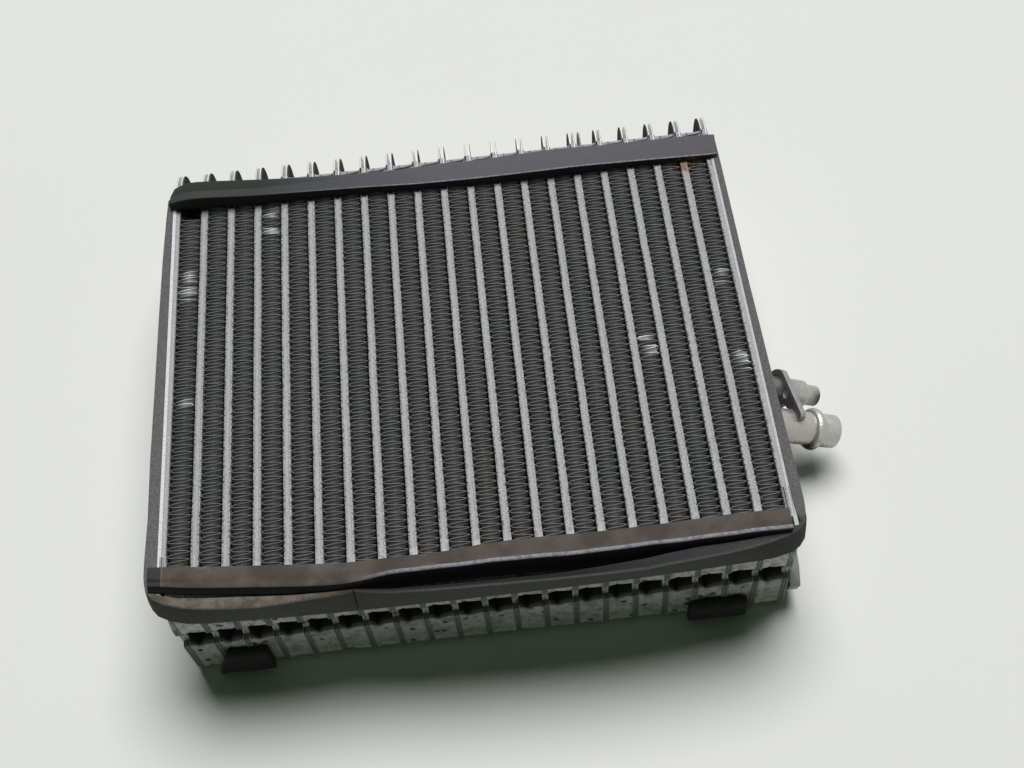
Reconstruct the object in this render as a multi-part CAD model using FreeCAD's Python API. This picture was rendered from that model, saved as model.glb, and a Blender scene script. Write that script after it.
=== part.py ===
import FreeCAD, Part
import math
import os

# Evaporator core of a vehicle air conditioner, in millimetres.
# X runs across the stack of flat tubes, Y along the tubes and Z through the core's depth.
# The rear air face lies on Z = 0, and the front air face is the one that looks up.

# The stack
tube_pitch = 11.6
tube_count = 21
core_depth = 60.0
overall_length = 214.0

# Flat tubes, each a brazed pair of stamped half plates
tube_thickness = 3.2
lane_width = 2.0
centre_rib = 3.0

# Header tanks, drawn into both ends of every plate
tank_depth = 25.0
tank_height = 12.0
tab_reach = 2.5
tab_notch = 3.2
tab_front_radius = 10.0
tab_rear_radius = 4.0
cup_side_margin = 1.0
cup_draft = 0.9
cup_wall = 0.9
shallow_cup_reach = 4.2
front_corner_steps = 2
rear_corner_steps = 1

# Corrugated air fins
fin_thickness = 0.3
fin_legs = 17
fin_setback = 0.6

# Covers outside the two last tubes
cover_thickness = 1.2

# Side plate under the two pipes, on the right
channel_height = 4.2
channel_gauge = 1.0
channel_steps = 3
suction_channel_width = 16.0
liquid_channel_width = 14.0
plate_floor = 2.0
plate_end_margin = 3.0

# Pipe stubs, placed by Y and Z on the plane of the last tube's outer wall
pipe_tilt = 25.0
suction_place = (-40.0, 30.0)
suction_length = 36.0
suction_radius = 7.0
suction_bore = 5.8
suction_root_bore = 4.6
suction_bead_start = 23.5
suction_bead_radius = 8.8
suction_bead_width = 4.2
liquid_place = (-21.0, 26.7)
liquid_length = 32.6
liquid_radius = 5.9
liquid_neck_start = 26.0
liquid_neck_radius = 4.4
liquid_bore = 3.2
liquid_root_bore = 2.4
pipe_bore_start = 10.0

# Retainer plate, in the plane square to the pipes: across along Y and up from the large pipe's axis
retainer_start = 14.0
retainer_thickness = 2.4
retainer_lobe_radius = 9.2
retainer_lobe_steps = 10
retainer_lobe_cut = 110.0
retainer_arm_width = 4.4
retainer_arm_tip = (0.3, 8.2)
retainer_neck = (10.5, 0.5)
retainer_bolt_radius = 1.7
retainer_bolt_place = (13.4, 3.5)
pipe_clearance = 0.25

# Foam tape round three sides
band_height = 12.5
band_gauge = 4.4
band_foot_gauge = 2.0
band_corner_inset = 6.5
band_left_bulge = 3.0
band_right_bulge = 4.5
band_touch_bulge = 1.2
band_split = -46.0
band_spans = 4
left_band_gauges = (1.8, 4.4)
right_band_gauges = (1.3, 3.0)

# Foam strips across the front air face, set in from the tab tips along each strip's course
far_strip_setback = 31.0
far_strip_width = 10.4
far_strip_thickness = 4.0
far_strip_turns = (-84.0, -20.0, 48.0)
far_strip_skews = (6.0, 4.0, 1.4, 0.0, 0.0)
near_strip_thickness = 3.0
near_strip_lip = 0.8
near_strip_turns = (-86.0, -58.0, -30.0, 44.0)
near_strip_inner_insets = (17.5, 14.0, 11.3, 10.8, 11.7, 12.5)
near_strip_outer_insets = (6.6, 2.4, 1.5, 3.5, 2.6, 4.0)

# Rubber pads on the rear tank
pad_width = 23.2
pad_thickness = 3.8
pad_floor = 2.0
left_pad_height = 16.0
left_pad_inset = 9.8
right_pad_height = 12.0
right_pad_inset = 17.1
pad_chamfer = 1.2

# Values worked out from the sizes above
half_length = overall_length / 2
tank_wall = half_length - tab_reach
tank_root = tank_wall - tank_height
tank_middle = tank_depth / 2
tube_half = tube_thickness / 2
deep_cup_reach = tube_pitch - shallow_cup_reach
last_tube = (tube_count - 1) / 2 * tube_pitch
side_face = last_tube + tube_half
cover_face = side_face + cover_thickness
channel_top = cover_face + channel_height
band_bottom = core_depth - band_height
band_corner_rim = half_length - band_corner_inset
band_left_rim = half_length + band_left_bulge
band_right_rim = half_length + band_right_bulge
band_touch_rim = half_length + band_touch_bulge
far_strip_edge = half_length - far_strip_setback
band_end = far_strip_edge + far_strip_width
gap_low = tank_depth
gap_high = core_depth - tank_depth
corner_cut = (1 - math.sqrt(0.5)) * tab_front_radius


def flat_face(corners):
    """A flat face through corners given in order."""
    return Part.Face(Part.makePolygon(corners + corners[:1]))


def solid_of(faces):
    """A solid whose skin is the faces given."""
    solid = Part.makeSolid(Part.makeShell(faces))
    if solid.Volume < 0:
        solid.reverse()
    return solid


def prism_yz(points, low, high):
    """A plate of the outline given in YZ, from one X to another."""
    face = flat_face([FreeCAD.Vector(low, y, z) for y, z in points])
    return face.extrude(FreeCAD.Vector(high - low, 0, 0))


def prism_xy(points, low, high):
    """A plate of the outline given in XY, from one Z to another."""
    face = flat_face([FreeCAD.Vector(x, y, low) for x, y in points])
    return face.extrude(FreeCAD.Vector(0, 0, high - low))


def box(x, y, z):
    """A box from three pairs of limits."""
    corner = FreeCAD.Vector(x[0], y[0], z[0])
    return Part.makeBox(x[1] - x[0], y[1] - y[0], z[1] - z[0], corner)


def arc_points(centre, radius, start, end, steps):
    """Points along an arc in the YZ plane, with angles in degrees from +Y towards +Z."""
    angles = [math.radians(start + (end - start) * step / steps) for step in range(steps + 1)]
    return [(centre[0] + radius * math.cos(a), centre[1] + radius * math.sin(a)) for a in angles]


def drafted(base, crown):
    """A solid between two flat outlines of as many points each, with flat flanks."""
    faces = [flat_face(base), flat_face(crown)]
    for corner in range(len(base)):
        faces.append(flat_face([base[corner - 1], base[corner], crown[corner], crown[corner - 1]]))
    return solid_of(faces)


def both_ends(shape):
    """A form at +Y together with its mirror image at -Y."""
    return [shape, shape.mirror(FreeCAD.Vector(0, 0, 0), FreeCAD.Vector(0, 1, 0))]


def plate_outline():
    """The outline of a stamped plate, with two lobes at each end and a shallow notch between them."""
    rear = (half_length - tab_rear_radius, tab_rear_radius)
    front = (half_length - tab_front_radius, core_depth - tab_front_radius)
    far_end = arc_points(rear, tab_rear_radius, -90, 0, rear_corner_steps)
    far_end += [(half_length, gap_low), (half_length - tab_notch, gap_low)]
    far_end += [(half_length - tab_notch, gap_high), (half_length, gap_high)]
    far_end += arc_points(front, tab_front_radius, 0, 90, front_corner_steps)
    return far_end + [(-y, z) for y, z in reversed(far_end)]


def cup_outline(tank, margin):
    """The outline of one drawn cup at +Y, a margin inside its lobe."""
    low = cup_side_margin + margin
    high = tank_depth - margin
    wall = tank_wall - margin
    root = tank_root + margin
    if tank == "rear":
        return [(root, low), (wall, low), (wall, high), (root, high)]
    radius = tab_front_radius - margin
    corner = arc_points((wall - radius, core_depth - low - radius), radius, 0, 90, 1)
    return [(root, core_depth - high), (wall, core_depth - high)] + corner + [(root, core_depth - low)]


def cup(tank, reach):
    """One cup drawn out of the tab, up to a reach from the tube's middle plane."""
    side = math.copysign(tube_half, reach)
    base = [FreeCAD.Vector(side, y, z) for y, z in cup_outline(tank, 0)]
    crown = [FreeCAD.Vector(reach, y, z) for y, z in cup_outline(tank, cup_draft)]
    return drafted(base, crown)


def tank_opening(tank, low, high):
    """The open way along X through a tank at +Y."""
    inset = cup_draft + cup_wall
    bottom = cup_side_margin + inset
    top = tank_depth - inset
    if tank == "rear":
        return box((low, high), (tank_root + inset, tank_wall - inset), (bottom, top))
    wall = tank_wall - inset - corner_cut
    return box((low, high), (tank_root + inset, wall), (core_depth - top, core_depth - bottom))


def flat_tube(left_reach, right_reach):
    """A brazed tube with its cups on either side and two lanes inside, for the rear and front pass.

    A side with no reach has no cups, and its tanks open onto the cover.
    """
    body = prism_yz(plate_outline(), -tube_half, tube_half)
    solids = []
    openings = []
    for tank in ("rear", "front"):
        for reach in (left_reach, right_reach):
            if reach:
                solids += both_ends(cup(tank, reach))
        openings += both_ends(tank_opening(tank, left_reach or -tube_half, right_reach or tube_half))
    lane_end = tank_root + cup_draft + cup_wall
    edge = cup_side_margin + cup_draft + cup_wall
    rib = ((core_depth - centre_rib) / 2, (core_depth + centre_rib) / 2)
    for lane in ((edge, rib[0]), (rib[1], core_depth - edge)):
        openings.append(box((-lane_width / 2, lane_width / 2), (-lane_end, lane_end), lane))
    return body.fuse(solids).cut(openings).removeSplitter()


def air_fin(left_face, right_face):
    """One corrugated fin, folded back and forth between two tubes and brazed at every crest."""
    length = 2 * (tank_root - fin_setback)
    leg = length / fin_legs
    across = fin_thickness * math.hypot(right_face - left_face, leg) / leg
    one_side = (left_face, right_face - across)
    other_side = (left_face + across, right_face)
    near = [(one_side[fold % 2], fold * leg - length / 2) for fold in range(fin_legs + 1)]
    far = [(other_side[fold % 2], fold * leg - length / 2) for fold in range(fin_legs + 1)]
    return prism_xy(near + far[::-1], fin_setback, core_depth - fin_setback)


def end_cover(side, ported):
    """The flat sheet outside the last tube, on the side given as -1 or 1."""
    sheet = prism_yz(plate_outline(), side * side_face, side * cover_face)
    if ported:
        sheet = sheet.cut(both_ends(tank_opening("rear", side_face, cover_face)))
    return sheet


def slot_points(start, end, radius):
    """A round-ended slot between two points in the YZ plane."""
    heading = math.degrees(math.atan2(end[1] - start[1], end[0] - start[0]))
    points = arc_points(end, radius, heading - 90, heading + 90, channel_steps)
    return points + arc_points(start, radius, heading + 90, heading + 270, channel_steps)


def pipe_point(across, up, along):
    """A point square to the pipes: across in Y and up from the large pipe's axis, along it from the root."""
    tilt = math.radians(pipe_tilt)
    root = FreeCAD.Vector(side_face, suction_place[0], suction_place[1])
    rise = FreeCAD.Vector(math.sin(tilt), 0, math.cos(tilt))
    return root + pipe_axis() * along + FreeCAD.Vector(0, across, 0) + rise * up


def pipe_axis():
    """The direction in which both pipe stubs leave the side."""
    tilt = math.radians(pipe_tilt)
    return FreeCAD.Vector(math.cos(tilt), 0, -math.sin(tilt))


def pipe_rod(place, start, length, radius):
    """A rod on a pipe's axis, measured from the plane of the last tube's outer wall."""
    root = FreeCAD.Vector(side_face, place[0], place[1])
    return Part.makeCylinder(radius, length, root + pipe_axis() * start, pipe_axis())


def pipe_hollow(place, length, bore, root_bore):
    """The way through a stub, narrower where it is brazed into its channel."""
    hollow = [pipe_rod(place, pipe_bore_start, length - pipe_bore_start, bore)]
    hollow.append(pipe_rod(place, 0, pipe_bore_start, root_bore))
    return hollow


def outside_channels(shape):
    """What lies outside the side plate's raised channels."""
    reach = overall_length
    return shape.cut(box((0, channel_top), (-reach, reach), (-reach, reach)))


def suction_pipe():
    """The large stub, with a rolled bead that a seal is pushed up to."""
    outer = pipe_rod(suction_place, 0, suction_length, suction_radius)
    ring = pipe_rod(suction_place, suction_bead_start, suction_bead_width, suction_bead_radius)
    hollow = pipe_hollow(suction_place, suction_length, suction_bore, suction_root_bore)
    return outside_channels(outer.fuse(ring).cut(hollow)).removeSplitter()


def liquid_pipe():
    """The small stub, necked down at its end."""
    outer = pipe_rod(liquid_place, 0, liquid_neck_start, liquid_radius)
    neck = pipe_rod(liquid_place, liquid_neck_start, liquid_length - liquid_neck_start, liquid_neck_radius)
    hollow = pipe_hollow(liquid_place, liquid_length, liquid_bore, liquid_root_bore)
    return outside_channels(outer.fuse(neck).cut(hollow)).removeSplitter()


def side_plate():
    """The stamped plate with two channels that join the pipes to the rear tanks."""
    tank_seat = tank_root + tank_height / 2
    routes = [((-tank_seat, tank_middle), suction_place, suction_channel_width / 2, suction_root_bore)]
    routes.append(((tank_seat, tank_middle), liquid_place, liquid_channel_width / 2, liquid_root_bore))
    reach = tank_wall - plate_end_margin
    plate = box((cover_face, cover_face + channel_gauge), (-reach, reach), (plate_floor, band_bottom))
    hollows = []
    for start, place, half_width, root_bore in routes:
        drop = (channel_top - side_face) * math.tan(math.radians(pipe_tilt))
        end = (place[0], place[1] - drop)
        raised = prism_yz(slot_points(start, end, half_width), cover_face, channel_top)
        inner_half = half_width - channel_gauge
        inner_top = channel_top - channel_gauge
        hollows.append(prism_yz(slot_points(start, end, inner_half), cover_face, inner_top))
        mouth = root_bore * math.sqrt(0.5)
        sides = (end[0] - mouth, end[0] + mouth), (end[1] - mouth, end[1] + mouth)
        hollows.append(box((inner_top, channel_top), *sides))
        plate = plate.fuse(raised)
    return plate.cut(hollows).removeSplitter()


def retainer_plate():
    """The lug round the small pipe, with an arm that hooks over the large one."""
    rise = math.tan(math.radians(pipe_tilt))
    lug = (liquid_place[0] - suction_place[0], (liquid_place[1] - suction_place[1]) / math.hypot(1, rise))
    heading = math.atan2(lug[1] - retainer_arm_tip[1], lug[0] - retainer_arm_tip[0])
    lean = math.degrees(heading)
    outline = arc_points(lug, retainer_lobe_radius, lean - retainer_lobe_cut, lean + 90, retainer_lobe_steps)
    outline += arc_points(retainer_arm_tip, retainer_arm_width / 2, lean + 90, lean + 270, retainer_lobe_steps // 2)
    outline.append(retainer_neck)
    corners = [pipe_point(across, up, retainer_start) for across, up in outline]
    sheet = flat_face(corners).extrude(pipe_axis() * retainer_thickness)
    bolt_start = pipe_point(retainer_bolt_place[0], retainer_bolt_place[1], retainer_start - retainer_thickness)
    holes = [Part.makeCylinder(retainer_bolt_radius, 3 * retainer_thickness, bolt_start, pipe_axis())]
    holes.append(pipe_rod(suction_place, 0, suction_length, suction_radius + pipe_clearance))
    holes.append(pipe_rod(liquid_place, 0, liquid_length, liquid_radius))
    return sheet.cut(holes).removeSplitter()


def band_outer(rim):
    """The outer line of the tape's section at the near end, up to a rim that stands a way out in -Y."""
    foot = half_length + band_foot_gauge
    points = [(foot, band_bottom), (max(rim, foot), core_depth - band_gauge), (rim, core_depth)]
    return [(-y, z) for y, z in points]


def band_section(x, rim):
    """A whole section of the tape across the near end, whose inner line lies on the lobes."""
    lobe = half_length - tab_front_radius
    inner = [(max(rim - band_gauge, lobe), core_depth), (half_length - corner_cut, core_depth - corner_cut)]
    inner += [(half_length, core_depth - tab_front_radius), (half_length, band_bottom)]
    return [FreeCAD.Vector(x, y, z) for y, z in band_outer(rim) + [(-y, z) for y, z in inner]]


def faceted(sections):
    """A solid through sections of as many points each, with flat facets between them."""
    faces = [flat_face(sections[0]), flat_face(sections[-1])]
    for first, second in zip(sections, sections[1:]):
        for corner in range(len(first)):
            faces.append(flat_face([first[corner - 1], first[corner], second[corner]]))
            faces.append(flat_face([first[corner - 1], second[corner], second[corner - 1]]))
    return solid_of(faces)


def near_band(start, end, start_rim, middle_rim, end_rim):
    """The tape across the near end, bowed outwards between two rims."""
    sections = []
    for span in range(band_spans + 1):
        share = span / band_spans
        straight = start_rim + (end_rim - start_rim) * share
        bow = (middle_rim - (start_rim + end_rim) / 2) * math.sin(math.pi * share)
        sections.append(band_section(start + (end - start) * share, straight + bow))
    return faceted(sections)


def side_band(side, gauges):
    """The tape along one side, with its gauge at the far end and at the near corner."""
    start = -(half_length + band_gauge)
    plan = [(side * cover_face, band_end), (side * cover_face, start)]
    plan += [(side * (cover_face + gauges[1]), start), (side * (cover_face + gauges[0]), band_end)]
    outline = band_outer(band_corner_rim) + [(band_end, core_depth), (band_end, band_bottom)]
    strip = prism_xy(plan, band_bottom, core_depth)
    return strip.common(prism_yz(outline, -channel_top, channel_top))


def seal_band(side):
    """One length of foam tape: along a side, round the corner and over part of the near end."""
    gauges = left_band_gauges if side < 0 else right_band_gauges
    corner = side * cover_face
    if side < 0:
        near = near_band(corner, band_split, band_corner_rim, band_left_rim, band_touch_rim)
    else:
        near = near_band(band_split, corner, band_touch_rim, band_right_rim, band_corner_rim)
    return side_band(side, gauges).fuse(near).removeSplitter()


def course(turns):
    """The places along X at which a strip across the whole front changes its course."""
    return (-cover_face,) + turns + (cover_face,)


def far_strip():
    """The foam strip over the far end of the front air face, skewed towards the tabs on the left."""
    near_edge = [(x, far_strip_edge + skew) for x, skew in zip(course(far_strip_turns), far_strip_skews)]
    far_edge = [(x, y + far_strip_width) for x, y in reversed(near_edge)]
    return prism_xy(near_edge + far_edge, core_depth, core_depth + far_strip_thickness)


def near_strip():
    """The foam strip at the near end, wider on the left, with its outer edge folded over the lobes."""
    top = core_depth + near_strip_thickness
    hem = core_depth - near_strip_lip
    sections = []
    insets = zip(near_strip_inner_insets, near_strip_outer_insets)
    for x, (inner_inset, outer_inset) in zip(course(near_strip_turns), insets):
        inner = inner_inset - half_length
        outer = outer_inset - half_length
        points = [(inner, core_depth), (inner, top), (outer, top), (outer, hem)]
        points += [(outer + near_strip_lip, hem), (outer + 2 * near_strip_lip, core_depth)]
        sections.append([FreeCAD.Vector(x, y, z) for y, z in points])
    return faceted(sections)


def pad(start, height):
    """A rubber pad stuck to the tab tips of the rear tank at the near end."""
    outer = -half_length - pad_thickness
    points = [(-half_length, pad_floor), (outer, pad_floor), (outer, pad_floor + height - pad_chamfer)]
    points += [(outer + pad_chamfer, pad_floor + height), (-half_length, pad_floor + height)]
    return prism_yz(points, start, start + pad_width)


def tube_x(index):
    """The X of a tube's middle plane."""
    return (index - (tube_count - 1) / 2) * tube_pitch


def write(name, shape):
    """One STEP file for one sub-part."""
    shape.exportStep("parts/" + name + ".step")


os.makedirs("parts", exist_ok=True)

inner_tube = flat_tube(-deep_cup_reach, shallow_cup_reach)
for index in range(1, tube_count - 1):
    write("tube_%02d" % index, inner_tube.translated(FreeCAD.Vector(tube_x(index), 0, 0)))
left_tube = flat_tube(None, shallow_cup_reach)
write("tube_left_end", left_tube.translated(FreeCAD.Vector(tube_x(0), 0, 0)))
right_tube = flat_tube(-deep_cup_reach, None)
write("tube_right_end", right_tube.translated(FreeCAD.Vector(tube_x(tube_count - 1), 0, 0)))

fin = air_fin(tube_half, tube_pitch - tube_half)
for index in range(tube_count - 1):
    write("fin_%02d" % (index + 1), fin.translated(FreeCAD.Vector(tube_x(index), 0, 0)))

write("end_cover_left", end_cover(-1, False))
write("end_cover_right", end_cover(1, True))
write("side_passage_plate", side_plate())
write("suction_pipe", suction_pipe())
write("liquid_pipe", liquid_pipe())
write("retainer_plate", retainer_plate())
bands = [seal_band(-1), seal_band(1)]
write("seal_band_left", bands[0])
write("seal_band_right", bands[1])
write("face_seal_far", far_strip())
write("face_seal_near", near_strip().cut(bands))
write("pad_left", pad(left_pad_inset - cover_face, left_pad_height))
write("pad_right", pad(cover_face - right_pad_inset - pad_width, right_pad_height))
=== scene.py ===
import math
import random

import bmesh
import bpy
from bpy.props import FloatProperty, FloatVectorProperty, PointerProperty
from mathutils import Matrix, Vector


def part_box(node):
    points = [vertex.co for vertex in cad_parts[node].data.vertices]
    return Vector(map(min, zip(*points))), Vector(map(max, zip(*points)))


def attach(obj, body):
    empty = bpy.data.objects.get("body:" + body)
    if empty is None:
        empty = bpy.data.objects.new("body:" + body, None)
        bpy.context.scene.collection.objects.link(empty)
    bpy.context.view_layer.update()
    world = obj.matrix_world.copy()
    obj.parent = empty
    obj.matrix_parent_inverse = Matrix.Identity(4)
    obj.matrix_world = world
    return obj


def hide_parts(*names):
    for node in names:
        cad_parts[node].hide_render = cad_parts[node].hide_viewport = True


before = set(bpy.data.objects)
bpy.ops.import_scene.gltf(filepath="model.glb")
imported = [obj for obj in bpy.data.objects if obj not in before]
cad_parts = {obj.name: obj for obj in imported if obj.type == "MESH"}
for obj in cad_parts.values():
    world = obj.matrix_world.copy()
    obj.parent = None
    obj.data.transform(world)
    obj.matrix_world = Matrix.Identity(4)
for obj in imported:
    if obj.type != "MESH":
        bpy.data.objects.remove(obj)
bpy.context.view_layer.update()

bl_info = {
    "name": "Evaporator core",
    "version": (1, 0, 0),
    "blender": (4, 5, 0),
    "location": "View3D > Sidebar > Evaporator core",
    "description": "Dresses the packed evaporator core with its finished tubes, fins, foam and pipes",
    "category": "Object",
}

# Everything is modelled in millimetres and brought to metres when a piece is finished.
MM = 0.001
BODY = "root"
TUBES = ["tube_left_end"] + ["tube_%02d" % number for number in range(1, 20)] + ["tube_right_end"]
FINS = ["fin_%02d" % number for number in range(1, 21)]
FINISH = "finished_"


def node_box(name):
    """The lowest and highest corner of a CAD node, in millimetres."""
    low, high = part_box(name)
    return Vector(low) / MM, Vector(high) / MM


CORE_DEPTH = node_box("tube_10")[1].z
TAB_TIP = node_box("tube_10")[1].y


class CoreSizes(bpy.types.PropertyGroup):
    """Sizes of the evaporator core that a user may change, in millimetres."""

    tube_pitch: FloatProperty(name="Tube pitch", description="Distance between two flat tubes", default=11.6)
    tube_half: FloatProperty(name="Half tube", description="Half the thickness of a flat tube", default=1.6)
    seam_width: FloatProperty(name="Seam width", description="Width of the groove in a tube", default=0.5)
    seam_depth: FloatProperty(name="Seam depth", description="Depth of the groove in a tube", default=0.12)
    sheet: FloatProperty(name="Plate sheet", description="Thickness of the stamped plates", default=0.5)
    tab_spread: FloatProperty(name="Tab spread", description="How far a tab's rim leans out", default=1.30)
    tab_half: FloatProperty(name="Half tab pair", description="Half of a near pair of tabs", default=1.25)
    far_radius: FloatProperty(name="Far tab radius", description="Front corner of lit far tabs", default=13.5)
    near_radius: FloatProperty(name="Near tab radius", description="Front corner of near tabs", default=10.0)
    fin_leg: FloatProperty(name="Fin leg", description="Distance between two crests of a fin", default=1.515)
    fin_sheet: FloatProperty(name="Fin sheet", description="Thickness of the fins", default=0.30)
    louvre: FloatProperty(name="Louvre", description="How far the fin louvres lean", default=0.8)
    pipe_tilt: FloatProperty(name="Pipe tilt", description="Slope of the pipes, in degrees", default=25.0)
    key_level: FloatProperty(name="Key level", description="Level of the overhead lamp", default=0.955)
    fill_level: FloatProperty(name="Fill level", description="Level of the light all round", default=0.028)


class CoreColours(bpy.types.PropertyGroup):
    """Colours of the evaporator core that a user may change."""

    plate: FloatVectorProperty(
        name="Plates", description="Aluminium of the tubes", subtype="COLOR", default=(0.365, 0.37, 0.383))
    fin: FloatVectorProperty(
        name="Fins", description="Grimy aluminium of the fins", subtype="COLOR", default=(0.40, 0.40, 0.42))
    fin_rim: FloatVectorProperty(
        name="Fin edges", description="Cut edges of the fins", subtype="COLOR", default=(0.104, 0.104, 0.110))
    foam: FloatVectorProperty(
        name="Foam", description="Outside of the foam tape", subtype="COLOR", default=(0.072, 0.075, 0.074))
    foam_top: FloatVectorProperty(
        name="Foam top", description="Top of the foam tape", subtype="COLOR", default=(0.14, 0.135, 0.139))
    strip: FloatVectorProperty(
        name="Strips", description="Top of the front strips", subtype="COLOR", default=(0.112, 0.112, 0.127))
    rubber: FloatVectorProperty(
        name="Pads", description="Black rubber pads", subtype="COLOR", default=(0.006, 0.0065, 0.006))
    pipe: FloatVectorProperty(
        name="Pipes", description="Aluminium of the pipes", subtype="COLOR", default=(0.57, 0.575, 0.55))
    retainer: FloatVectorProperty(
        name="Retainer", description="Grey retainer plate", subtype="COLOR", default=(0.29, 0.295, 0.295))
    # Dirt, also used as painted shade on the near end's ledges and hollows
    dirt: FloatVectorProperty(
        name="Dirt", description="Dark grime", subtype="COLOR", default=(0.018, 0.018, 0.016))
    dust: FloatVectorProperty(
        name="Dust", description="Beige dust on the foam", subtype="COLOR", default=(0.22, 0.19, 0.155))
    rust: FloatVectorProperty(
        name="Rust", description="Reddish brown dirt", subtype="COLOR", default=(0.155, 0.095, 0.068))
    floor: FloatVectorProperty(
        name="Floor", description="Pale cloth under the core", subtype="COLOR", default=(0.79, 0.80, 0.765))


# Shaping


def new_ring(bm, points):
    """A loop of edges through points, with a face in it."""
    return bm.faces.new([bm.verts.new(point) for point in points])


def loft(bm, sections, marks=()):
    """A closed form through sections, made by extruding the first to each of the others."""
    face = new_ring(bm, sections[0])
    for number, points in enumerate(sections):
        if number > 0:
            face = bmesh.ops.extrude_discrete_faces(bm, faces=[face])["faces"][0]
        for loop, point in zip(face.loops, points):
            loop.vert.co = point
        if marks:
            for loop, values in zip(face.loops, marks[number]):
                for layer, value in values.items():
                    loop.vert[layer] = value
    bmesh.ops.holes_fill(bm, edges=[edge for edge in bm.edges if edge.is_boundary])


def settle(bm, name, slot, nodes, smooth=35.0):
    """Brings a mesh to metres, and puts it in the place of the CAD nodes named."""
    bmesh.ops.scale(bm, vec=(MM, MM, MM), verts=bm.verts)
    mesh = bpy.data.meshes.new(name)
    bm.to_mesh(mesh)
    bm.free()
    mesh.shade_smooth()
    mesh.set_sharp_from_angle(angle=math.radians(smooth))
    piece = bpy.data.objects.new(name, mesh)
    bpy.context.collection.objects.link(piece)
    mesh.materials.append(bpy.data.materials[FINISH + slot])
    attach(piece, BODY)
    if nodes:
        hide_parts(*nodes)
    return piece


def cad_copy(node):
    """A merged copy of a CAD node's mesh in millimetres, with its flat sides joined up."""
    bm = bmesh.new()
    bm.from_mesh(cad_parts[node].data)
    bmesh.ops.scale(bm, vec=(1 / MM, 1 / MM, 1 / MM), verts=bm.verts)
    bmesh.ops.remove_doubles(bm, verts=bm.verts, dist=0.002)
    bmesh.ops.dissolve_limit(bm, angle_limit=math.radians(1.0), verts=bm.verts, edges=bm.edges)
    return bm


def cut_off(bm, place, outwards):
    """Removes what lies beyond a plane, and gives the edges of the cut."""
    cut = bmesh.ops.bisect_plane(bm, geom=bm.verts[:] + bm.edges[:] + bm.faces[:], dist=0.0001,
                                 plane_co=place, plane_no=outwards, clear_outer=True)
    return [item for item in cut["geom_cut"] if isinstance(item, bmesh.types.BMEdge)]


def soften(bm, offset, segments=2, angle=30.0):
    """Rounds every edge that turns more than an angle."""
    edges = [edge for edge in bm.edges
             if edge.is_manifold and edge.calc_face_angle(0.0) > math.radians(angle)]
    bmesh.ops.bevel(bm, geom=edges, offset=offset, offset_type="OFFSET", segments=segments, profile=0.5,
                    affect="EDGES", clamp_overlap=True, material=-1)


def arc(centre, radius, start, end, steps):
    """Points along an arc, with angles in degrees from the first axis towards the second."""
    angles = [math.radians(start + (end - start) * step / steps) for step in range(steps + 1)]
    return [(centre[0] + radius * math.cos(a), centre[1] + radius * math.sin(a)) for a in angles]


def between(table, place):
    """The values of a table at a place, its first column, with its corners eased."""
    reach = 5.0
    total = [0.0] * (len(table[0]) - 1)
    for shift, share in ((-reach, 0.25), (0.0, 0.5), (reach, 0.25)):
        spot = min(max(place + shift, table[0][0]), table[-1][0])
        for low, high in zip(table, table[1:]):
            if low[0] <= spot <= high[0]:
                part = (spot - low[0]) / (high[0] - low[0])
                for column in range(len(total)):
                    value = low[column + 1] + (high[column + 1] - low[column + 1]) * part
                    total[column] += share * value
                break
    return total


def steps(low, high, count):
    """Places spread evenly from low to high."""
    return [low + (high - low) * step / count for step in range(count + 1)]


def share_of(place, start, full):
    """How far a place is on the way from a start to where it is full, from 0 to 1."""
    return max(0.0, min(1.0, (place - start) / (full - start)))


# Materials, with their places and depths in metres

# Scale, low limit, high limit and stretch of each kind of patchy noise
MOTTLES = {
    "handling": (260.0, 0.3, 0.7), "flecks": (1500.0, 0.42, 0.58), "nibbled rim": (900.0, 0.5, 0.57),
    "grime": (240.0, 0.42, 0.68), "upper grime": (420.0, 0.4, 0.65), "smears": (330.0, 0.58, 0.66),
    "grain": (900.0, 0.2, 0.8), "rust": (650.0, 0.38, 0.62), "stains": (70.0, 0.45, 0.75),
    "hem": (900.0, 0.3, 0.6), "fin tint": (60.0, 0.35, 0.65), "brown": (26.0, 0.52, 0.66),
    "green": (41.0, 0.54, 0.68), "cut edge": (900.0, 0.35, 0.65), "pipe": (160.0, 0.3, 0.7),
    "turning": (900.0, 0.4, 0.6, 0.2), "pipe stains": (330.0, 0.56, 0.7), "retainer": (300.0, 0.35, 0.65),
    "fine grain": (1500.0, 0.2, 0.8), "cells": (1500.0, 0.3, 0.7), "beige": (190.0, 0.35, 0.65),
    "strip": (1300.0, 0.3, 0.7), "strip dirt": (90.0, 0.35, 0.65), "strip dust": (62.0, 0.5, 0.68),
    "edge highlight": (700.0, 0.35, 0.6), "rubber": (500.0, 0.4, 0.7), "rubber grain": (900.0, 0.3, 0.7),
    "weave": (420.0, 0.2, 0.8), "broad": (4.0, 0.3, 0.7),
}
# Scale, size and share of each kind of small spots
PITS = {"grime": (230.0, 0.36, 0.45), "cover": (300.0, 0.25, 0.04)}
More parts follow.
